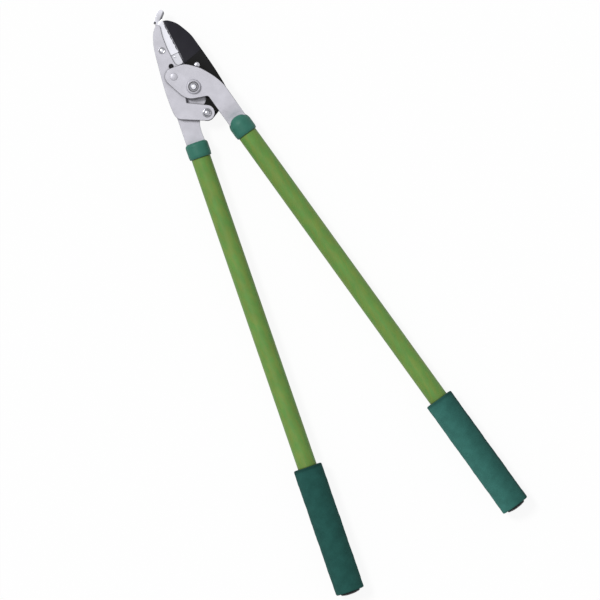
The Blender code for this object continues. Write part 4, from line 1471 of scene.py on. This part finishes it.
@dataclass
class MainBolt:
    """Main bolt with its cupped washer in front and its washer and nut behind."""

    shank: float = 0.0040
    hole: float = 0.0043
    dome_radius: float = 0.0036
    dome_rise: float = 0.0026
    groove: float = 0.0002
    flange: float = 0.0008
    flange_lip: float = 0.0003
    flange_radius: float = 0.0056
    centre_mark: float = 0.0014
    mark_depth: float = 0.0001
    pitch: float = 0.00125
    thread_depth: float = 0.0005
    thread_top: float = 0.0100
    thread_gap: float = 0.0010
    chamfer: float = 0.0006
    cup_radius: float = 0.0090
    cup_floor: float = 0.0012
    cup_gap: float = 0.0003
    washer_fillet: float = 0.00025
    nut_flats: float = 0.0130
    nut_face: float = 0.965
    nut_chamfer: float = radians(30)

    @property
    def axis(self) -> Axis:
        """The bolt's axis."""
        return upright(0.0, 0.0)

    def bolt(self) -> list[Patch]:
        """Bolt with a shallow mark in its dome and a thread on its end.

        The thread's radius is the shank's less half the depth times 1 - cosine of the turn, where
        the turn is 360 degrees times the height over the pitch, less the angle round the bolt.

        Returns:
            Its surface.
        """
        low, high, _ = self.axis.measure("pivot_bolt")
        base, tip, core = high - self.dome_rise, low + self.chamfer, self.shank - self.thread_depth
        top = dome(self.dome_radius, self.dome_rise, base, wear=0.6, steps=24)
        mark = np.clip(top[:, 0] / self.centre_mark, 0, 1)
        top[:, 1] -= self.mark_depth * np.cos(mark * pi / 2) ** 2
        seat = base - self.flange
        # The groove round the dome and the flange in it are painted dark, as shade in the recess inside the
        # cup
        neck = rounded([
            (self.dome_radius, base, 0, -0.6),
            (self.dome_radius + self.groove, seat + self.flange_lip, 0.0002, -0.75),
            (self.flange_radius, seat + self.flange_lip, 0.0001, -0.75),
            (self.flange_radius, seat, 0, -1),
            (self.shank, seat),
            (self.shank, self.thread_top + self.thread_gap),
        ])
        upper = np.concatenate([top[:-1], neck])
        axis, angle = self.axis, circle(72)[None]
        height = np.linspace(self.thread_top, tip, 96)[:, None]
        turn = 2 * pi * height / self.pitch - angle
        threaded = self.shank - self.thread_depth / 2 * (1 - np.cos(turn))
        end = rounded([(core, tip, 0, 0.4), (core - self.chamfer, low, 0.0003, 0.4), (0.0, low)])
        points = np.concatenate([
            axis.wrap(upper[:, :1], upper[:, 1:2], angle),
            axis.wrap(threaded, height, angle),
            axis.wrap(end[:, :1], end[:, 1:2], angle),
        ])
        return [grid_patch(points, np.concatenate([upper[:, 2:], 0 * height, end[:, 2:]]))]

    def cup(self) -> list[Patch]:
        """Cupped washer: a rim that rises round the bolt's head and slopes away outside.

        Returns:
            Its surface.
        """
        low, high, _ = self.axis.measure("pivot_washer_front")
        rim = self.flange_radius + self.cup_gap
        # The cup's floor and inner wall are painted dark, as shade in the recess round the bolt's head, and
        # its foot as shade where it meets the plate
        profile = rounded([
            (self.hole, low, 0.0001),
            (self.hole, low + self.cup_floor, 0.0001, -1),
            (rim, low + self.cup_floor, 0.0002, -1),
            (rim, high - 0.0002, 0.0005, -0.9),
            (rim + 0.0006, high, 0.0006, -0.55),
            (rim + 0.0014, high, 0.0004),
            (self.cup_radius - 0.0010, high - 0.0004, 0.0010),
            (self.cup_radius - 0.0002, low + 0.0010, 0.0010),
            (self.cup_radius, low, 0.0001, -0.5),
        ], closed=True)
        return [turned(self.axis, profile, closed=True, steps=96)]

    def nut(self) -> list[Patch]:
        """Hexagon nut, chamfered at both faces.

        A side's radius is half the flats over the cosine of the angle from the side's middle, and
        a face's chamfer rises from it at the given slope beyond its own circle.

        Returns:
            Its surface.
        """
        low, high, _ = self.axis.measure("pivot_nut")
        angle = circle(144)
        side = self.nut_flats / 2 / np.cos(np.mod(angle, pi / 3) - pi / 6)
        face, mouth = self.nut_flats / 2 * self.nut_face, self.hole + self.chamfer
        drop = np.maximum(side - face, 0) * np.tan(self.nut_chamfer)
        half = [(self.hole, self.chamfer, 0), (mouth, 0, 0.1), (face, 0, 0.3), (side, drop, 0.5)]
        radius = np.stack([angle * 0 + row[0] for row in half + half[::-1]])
        depth = np.stack([angle * 0 + row[1] for row in half])
        wear = np.array([row[2] for row in half + half[::-1]])[:, None]
        height = np.concatenate([low + depth, (high - depth)[::-1]])
        return [grid_patch(self.axis.wrap(radius, height, angle), wear, wrap_rows=True)]

    def build(self, shop: Workshop) -> list[bpy.types.Object]:
        """Make the bolt and all that it clamps."""
        return [
            shop.piece("pivot_bolt", self.bolt(), Body.RIGHT, Slot.BRIGHT_STEEL, TURNED_SHARP),
            shop.piece("pivot_washer_front", self.cup(), Body.RIGHT, Slot.SATIN_STEEL, TURNED_SHARP),
            shop.ring("pivot_washer_back", self.axis, Body.RIGHT, self.hole, self.washer_fillet),
            shop.piece("pivot_nut", self.nut(), Body.RIGHT, Slot.SATIN_STEEL, sharp=20),
            shop.ring("pivot_bush_front", self.axis, Body.RIGHT, self.hole),
            shop.ring("pivot_bush_back", self.axis, Body.RIGHT, self.hole),
        ]


@dataclass(frozen=True)
class Rivet:
    """Rivet with a domed head, which may have a ring pressed round it, and a flat closed end.

    The ring's corners are radius, depth below the top of the head, fillet and wear, whose negative values
    paint shade in the ring.
    """

    node: str
    place: Place
    body: Body
    head: float
    rise: float
    shank: float
    foot: float
    wear: float = 0.0
    ring: Sequence[Sequence[float]] = ()
    slot: Slot = Slot.BRIGHT_STEEL
    foot_fillet: float = 0.0006

    def profile(self) -> Array:
        """Profile from the middle of the head down to that of the closed end.

        Returns:
            Radius, height and wear of each point.
        """
        low, high = (corner.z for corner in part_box(self.node))
        rim, seat, foot = self.head, high - self.rise, low + self.foot
        top = dome(self.head, self.rise, seat, self.wear)
        if self.ring:
            corners = [(radius, high - depth, *rest) for radius, depth, *rest in self.ring]
            rim, seat = corners[-1]
            top = np.vstack([top[:-1], rounded(corners)])
        shank = [(rim, seat), (self.shank, seat), (self.shank, foot), (rim, foot)]
        return np.vstack([top, rounded([*shank, (rim, low, self.foot_fillet, PLAIN_WEAR), (0.0, low)])])

    def build(self, shop: Workshop) -> bpy.types.Object:
        """Make the rivet."""
        surface = turned(upright(*self.place), self.profile())
        return shop.piece(self.node, [surface], self.body, self.slot, sharp=38)


@dataclass
class Rivets:
    """Rivets of the outer pivots and of the insert, and what keeps the plates apart on them."""

    anvil_link: Place = (-0.0158, 0.0221)
    blade_link: Place = (0.0158, 0.0221)
    rear: Place = (0.0, -0.0354)
    upper: Place = (-0.0140, 0.0571)
    lower: Place = (-0.0033, 0.0432)
    sleeve_bore: float = 0.0039
    spacer_bore: float = 0.0038

    def build(self, shop: Workshop) -> list[bpy.types.Object]:
        """Make the rivets, the sleeve and the spacer, and keep the two cross rivets.

        Args:
            shop: where pieces are made.

        Returns:
            The pieces.
        """
        # The pressed rings are painted dark, as shade in their recess, and the domes of the rear and blade
        # link rivets are painted darker, as shade that tones down their glint
        rear_ring = (
            (0.0030, 0.0016, 0, -0.7), (0.0034, 0.0019, 0.0002, -0.8), (0.0043, 0.0012, 0.0006, -0.8),
            (0.0056, 0.0016, 0.0006, -0.75), (0.0056, 0.0026),
        )
        upper_ring = (
            (0.0019, 0.0010, 0, -0.4), (0.0023, 0.0011, 0.0002, -0.7), (0.0036, 0.0008, 0.0005, -0.75),
            (0.0042, 0.0009, 0.0003, -0.7), (0.0042, 0.0012),
        )
        rivets = [
            Rivet(
                "anvil_link_rivet", self.anvil_link, Body.RIGHT, head=0.0046, rise=0.0012, shank=0.0036,
                foot=0.0012, slot=Slot.SATIN_STEEL,
            ),
            Rivet(
                "blade_link_rivet", self.blade_link, Body.LEFT, head=0.0037, rise=0.0020, shank=0.0028,
                foot=0.0020, wear=-0.45,
            ),
            Rivet(
                "rear_rivet", self.rear, Body.ANVIL, head=0.0030, rise=0.0016, shank=0.0035,
                foot=0.0012, wear=-0.55, ring=rear_ring,
            ),
            Rivet(
                "insert_rivet_upper", self.upper, Body.ANVIL, head=0.0019, rise=0.0010, shank=0.0025,
                foot=0.0006, wear=1.0, ring=upper_ring,
            ),
            Rivet(
                "insert_rivet_lower", self.lower, Body.ANVIL, head=0.0014, rise=0.0007, shank=0.0010,
                foot=0.0007, wear=1.0,
            ),
        ]
        for side in Side:
            shop.keep("tang_rivet_" + side.word, Slot.SATIN_STEEL)
        return [
            *(rivet.build(shop) for rivet in rivets),
            shop.ring("anvil_link_sleeve", upright(*self.anvil_link), Body.RIGHT, self.sleeve_bore),
            shop.ring("rear_spacer", upright(*self.rear), Body.ANVIL, self.spacer_bore),
        ]


@dataclass
class Handle:
    """Ferrule, tube, foam grip and end cap of one handle."""

    side: Side
    slot_height: float
    ferrule_cap: float
    ferrule_rounding: float
    web: float = 0.0
    web_reach: float = 1.01
    web_play: float = 0.0001
    slot_width: float = 0.0242
    slot_lip: float = 0.0002
    lip_depth: float = 0.0003
    bore: float = 0.0123
    tube_wall: float = 0.0015
    grip_front: float = 0.0034
    grip_rear: float = 0.0046
    cap_rim: float = 0.0008
    cap_dome: float = 0.0024
    cap_play: float = 0.0003
    groove_share: float = 0.72
    groove_depth: float = 0.0005
    groove_width: float = 0.0006
    # Width and darkness of the painted shade round the tube where the ferrule and the grip begin; the
    # darkness also paints shade in the end cap's groove
    crevice: float = 0.0016
    tucked: float = 0.0004
    darkest: float = -0.8
    waves: Sequence[tuple[float, int, int, float]] = (
        (0.00010, 3, 2, 0.4), (0.00007, 7, -3, 1.9), (0.00005, 13, 5, 4.1), (0.00004, 23, -7, 2.6),
    )
    wave_shift: float = 1.3
    skin_drop: float = 0.00012
    # Tone of the left grip, and of the right grip, with painted light that makes its inner side paler and a
    # line of painted shade on its outer side
    pale: float = 0.18
    right_pale: float = 0.60
    right_swing: float = 0.34
    line_from: float = 0.85
    line_fade: float = 0.12
    line_dark: float = 0.4

    @property
    def axis(self) -> Axis:
        """The handle's axis, away from the jaws."""
        return HandleLine(self.side).axis

    def extent(self, kind: str) -> tuple[float, float, float]:
        """Where one of the handle's CAD nodes starts and ends along the axis, and its radius."""
        return self.axis.measure(kind + "_" + self.side.word)

    def sunk(self, radius: Array, outer: float) -> Array:
        """How far the ferrule's rounded front lies behind its foremost point.

        The front is flat out to the rounding's start. From there the depth is the rounding times
        1 - square root of (1 - u^2), with u the distance past that start over the rounding.

        Args:
            radius: distance of each point from the handle's axis.
            outer: radius of the ferrule.

        Returns:
            The depth at each.
        """
        corner = self.ferrule_rounding * outer
        past = np.clip((radius - outer) / corner + 1, 0, 1)
        return corner * (1 - np.sqrt(1 - past**2))

    def ferrule_web(self) -> Patch:
        """Wall between the two plates of the right handle, in the ferrule's slot.

        Each row is a loop round the wall's section: over its front, which follows the rounded
        front of the ferrule, and back along the shoulder. The rows at both ends are one point.

        Returns:
            Its surface.
        """
        top, _, outer = self.extent("ferrule")
        across = self.slot_width / 2 * self.web_reach * np.sin(np.linspace(-pi / 2, pi / 2, 33))[:, None]
        lift = self.web / 2 * np.array([[1.0, 0.6, 0.2, -0.2, -0.6, -1.0, -1.0, 1.0]])
        front = top + self.web_play + self.sunk(np.hypot(across, lift), outer)
        # All points of a loop but the last two lie on the front
        depth = np.where(np.arange(lift.size) < lift.size - 2, front, top + self.ferrule_cap)
        lift = np.repeat(lift, len(across), axis=0)
        lift[[0, -1]] = 0.0
        depth[[0, -1]] = depth[[0, -1]].mean(axis=1, keepdims=True)
        angle = np.arctan2(lift, across)
        return grid_patch(self.axis.wrap(np.hypot(across, lift), depth, angle))

    def ferrule(self) -> list[Patch]:
        """Domed ferrule with the slot that the plates come out of.

        Every row is a loop round the handle. The slot's loops have the radius of a rectangle, the
        smaller of half its width over |cosine| and half its height over |sine| of the angle. From
        there the front's loops widen evenly to the round outside, over the rounded front.

        Returns:
            Its surface.
        """
        top, bottom, outer = self.extent("ferrule")
        half_width, half_height = self.slot_width / 2, self.slot_height / 2
        corner = np.arctan2(half_height, half_width)
        corners = [corner, pi - corner, pi + corner, 2 * pi - corner]
        angle = np.sort(np.concatenate([circle(120), corners]))[None]
        slot = np.minimum(
            half_width / np.maximum(np.abs(np.cos(angle)), TINY),
            half_height / np.maximum(np.abs(np.sin(angle)), TINY),
        )
        share = np.sin(np.linspace(0, pi / 2, 14))[:, None]
        front = slot + self.slot_lip + (outer - slot - self.slot_lip) * share
        sunk = self.sunk(front, outer)
        floor = top + self.ferrule_cap
        skirt = rounded([
            (outer, top + self.ferrule_rounding * outer),
            (outer, bottom - 0.0040, 0.0040),
            (outer - 0.0006, bottom, 0.0008, -0.4),
            (self.bore, bottom, 0.0003, -0.8),
            (self.bore, floor),
        ])[1:]
        ones = np.ones_like(angle)
        lip = top + sunk[:1] + self.lip_depth
        radius = np.concatenate([slot, slot, front, skirt[:, :1] * ones])
        depth = np.concatenate([floor * ones, lip, top + sunk, skirt[:, 1:2] * ones])
        # The slot's mouth is painted dark, as shade in the slot, and the skirt's lower edge and bore as shade
        # where the tube goes in
        wear = np.concatenate([[[-1.0], [-0.3]], 0 * share, skirt[:, 2:]])
        shell = grid_patch(self.axis.wrap(radius, depth, angle), wear, wrap_rows=True)
        return [shell, self.ferrule_web()] if self.web else [shell]

    def tube(self) -> list[Patch]:
        """Steel tube, open at both ends, with painted shade where the ferrule and the grip begin.

        Returns:
            Its surface.
        """
        start, end, outer = self.extent("tube")
        skirt, grip = self.extent("ferrule")[1], self.extent("grip")[0]
        below = [skirt - self.tucked, skirt, skirt + self.crevice]
        above = [grip - self.crevice, grip, grip + self.tucked]
        rows = np.sort([*np.linspace(start, end, 48), *below, *above])
        worn_and_shaded = np.interp(rows, below + above, [0, self.darkest, 0] * 2)
        bore = outer - self.tube_wall
        wall = [(bore, start), *((outer, row, 0, dark) for row, dark in zip(rows, worn_and_shaded)), (bore, end)]
        return [turned(self.axis, rounded(wall, closed=True), closed=True, steps=128)]

    def grip(self) -> list[Patch]:
        """Foam grip with soft ends and a faintly uneven skin.

        The skin stands off by a few long waves: the sum of amplitude times the sine of (waves
        along + waves round + phase), faded out at both ends.

        Returns:
            Its surface.
        """
        start, end, outer = self.extent("grip")
        rows = np.linspace(start + self.grip_front, end - self.grip_rear, 110)[1:-1]
        # The front, where the tube goes in, is painted dark, as shade, and so is the rear's inner edge
        profile = rounded([
            (self.bore, start + 0.0040),
            (self.bore + 0.0001, start + 0.0009, 0.0010, -1),
            (self.bore + 0.0016, start, 0.0010, -0.8),
            (outer, start, self.grip_front, -0.45),
            *((outer, row) for row in rows),
            (outer, end, self.grip_rear),
            (self.bore + 0.0012, end, 0.0010),
            (self.bore, end - 0.0012, 0.0006, -0.6),
        ], closed=True, steps=9)
        angle, height = circle(112)[None], profile[:, 1:2]
        share = (height - start) / (end - start)
        swell = sum(
            size * np.sin(2 * pi * along * share + turns * angle + phase + self.side.value * self.wave_shift)
            for size, along, turns, phase in self.waves
        )
        skin = np.clip((profile[:, :1] - self.bore) / (outer - self.bore), 0, 1) ** 2
        radius = profile[:, :1] + (swell - self.skin_drop) * skin
        tone, wear = np.full(angle.shape, self.pale), profile[:, 2:3]
        # The right grip has painted light on its inner side and a line of painted shade along its outer one
        if self.side is Side.RIGHT:
            tone = self.right_pale - self.right_swing * np.cos(angle)
            line = np.clip((np.cos(angle) - self.line_from) / self.line_fade, 0, 1)
            wear = np.minimum(wear, -self.line_dark * line)
        return [grid_patch(self.axis.wrap(radius, height, angle), wear, wrap_rows=True, tone=tone)]

    def end_cap(self) -> list[Patch]:
        """Plug with a rim on the tube's end and a shallow domed face with a groove.

        The groove's depth falls off as exp(-(distance / width)^2) from its middle.

        Returns:
            Its surface.
        """
        start, end, outer = self.extent("end_cap")
        base, plug = end - self.cap_dome, outer - self.tube_wall - self.cap_play
        rim = base - self.cap_rim
        face = dome(outer, self.cap_dome, base, steps=20)
        groove = np.exp(-(((face[:, 0] - self.groove_share * outer) / self.groove_width) ** 2))
        face[:, 1] -= self.groove_depth * groove
        # The groove is painted dark, as shade in it
        face[:, 2] = self.darkest * groove
        neck = [(outer, base), (outer, rim, 0.0002), (plug, rim, 0.0002), (plug, start, 0.0012), (0.0, start)]
        return [turned(self.axis, np.vstack([face, rounded(neck)[1:]]), steps=96)]

    def build(self, shop: Workshop) -> list[bpy.types.Object]:
        """Make one handle's pieces.

        Args:
            shop: where pieces are made.

        Returns:
            The pieces.
        """
        word, body = self.side.word, self.side.body
        made = [
            shop.piece("ferrule_" + word, self.ferrule(), body, Slot.TEAL_PLASTIC, sharp=35),
            shop.piece("tube_" + word, self.tube(), body, Slot.GREEN_PAINT, sharp=35),
            shop.piece("grip_" + word, self.grip(), body, Slot.TEAL_FOAM, sharp=60),
            shop.piece("end_cap_" + word, self.end_cap(), body, Slot.BLACK_PLASTIC, sharp=35),
        ]
        return made


# Studio


@dataclass
class Studio:
    """Pale floor, soft light from the photograph's left and a camera straight above."""

    target: Place = (-0.00445, -0.29016)
    distance: float = 8.0
    clip_end: float = 50.0
    sensor: float = 36.0
    frame_width: float = 0.732
    turn: float = radians(-27.4)
    plane: float = 0.018
    floor_half: float = 4.5
    floor_grey: float = 0.92
    floor_glow: float = 0.91
    fill: float = 0.44
    key: float = 2.15
    key_angle: float = radians(15)
    key_azimuth: float = radians(33)
    key_elevation: float = radians(56)

    def camera(self) -> None:
        """Look straight down at the tool, turned as the photograph has it."""
        data = bpy.data.cameras.new("camera")
        data.sensor_width = self.sensor
        data.lens = self.sensor * self.distance / self.frame_width
        data.clip_end = self.clip_end
        item = placed("camera", data)
        item.location = (*self.target, self.plane + self.distance)
        item.rotation_euler = (0.0, 0.0, self.turn)
        bpy.context.scene.camera = item

    def floor(self) -> None:
        """Lay a pale floor that keeps a faint shadow and looks white to the camera."""
        half = self.floor_half
        corners = [(-half, -half, 0), (half, -half, 0), (half, half, 0), (-half, half, 0)]
        mesh = bpy.data.meshes.new("floor")
        mesh.from_pydata(corners, [], [(0, 1, 2, 3)])
        tree = Tree(bpy.data.materials.new("floor"))
        tree.nodes.clear()
        plain = tree.add("ShaderNodeBsdfDiffuse", {"Color": (self.floor_grey,) * 3})
        glow = tree.add("ShaderNodeEmission", {})
        tree.split(plain, glow, self.floor_glow, "ShaderNodeOutputMaterial")
        mesh.materials.append(tree.owner)
        placed("floor", mesh)

    def world(self) -> None:
        """White surround for the camera and for reflections, and a softer fill for the rest."""
        tree = Tree(bpy.data.worlds.new("world"))
        tree.nodes.clear()
        white = {"Color": (1.0, 1.0, 1.0)}
        fill = tree.add("ShaderNodeBackground", {**white, "Strength": self.fill})
        tree.split(fill, tree.add("ShaderNodeBackground", white), 1.0, "ShaderNodeOutputWorld")
        bpy.context.scene.world = tree.owner

    def lights(self) -> None:
        """Hang a broad key light on the photograph's left and a little towards its top."""
        data = bpy.data.lights.new("key", "SUN")
        data.energy = self.key
        data.angle = self.key_angle
        item = placed("key", data)
        left = Vector((-cos(self.turn), -sin(self.turn), 0.0))
        up = Vector((-sin(self.turn), cos(self.turn), 0.0))
        level = left * cos(self.key_azimuth) + up * sin(self.key_azimuth)
        towards = level * cos(self.key_elevation) + Vector((0, 0, sin(self.key_elevation)))
        item.rotation_mode = "QUATERNION"
        item.rotation_quaternion = towards.to_track_quat("Z", "Y")

    def build(self) -> None:
        """Set up the whole studio."""
        self.camera()
        self.floor()
        self.world()
        self.lights()
        bpy.context.scene.view_settings.view_transform = "Standard"


def main() -> None:
    """Build the studio and the tool, piece by piece."""
    logging.basicConfig(level=logging.INFO, format="%(message)s")
    Studio().build()
    shop = Workshop(make_finishes())
    assemblies = [
        HandlePlates(),
        Jaws(),
        MainBolt(),
        Rivets(),
        Handle(Side.RIGHT, slot_height=0.0116, ferrule_cap=0.0106, ferrule_rounding=0.84, web=0.0044),
        Handle(Side.LEFT, slot_height=0.0046, ferrule_cap=0.0046, ferrule_rounding=0.30),
    ]
    for assembly in assemblies:
        pieces = assembly.build(shop)
        log.info("%s: %d pieces", type(assembly).__name__, len(pieces))


if __name__ == "__main__":
    main()
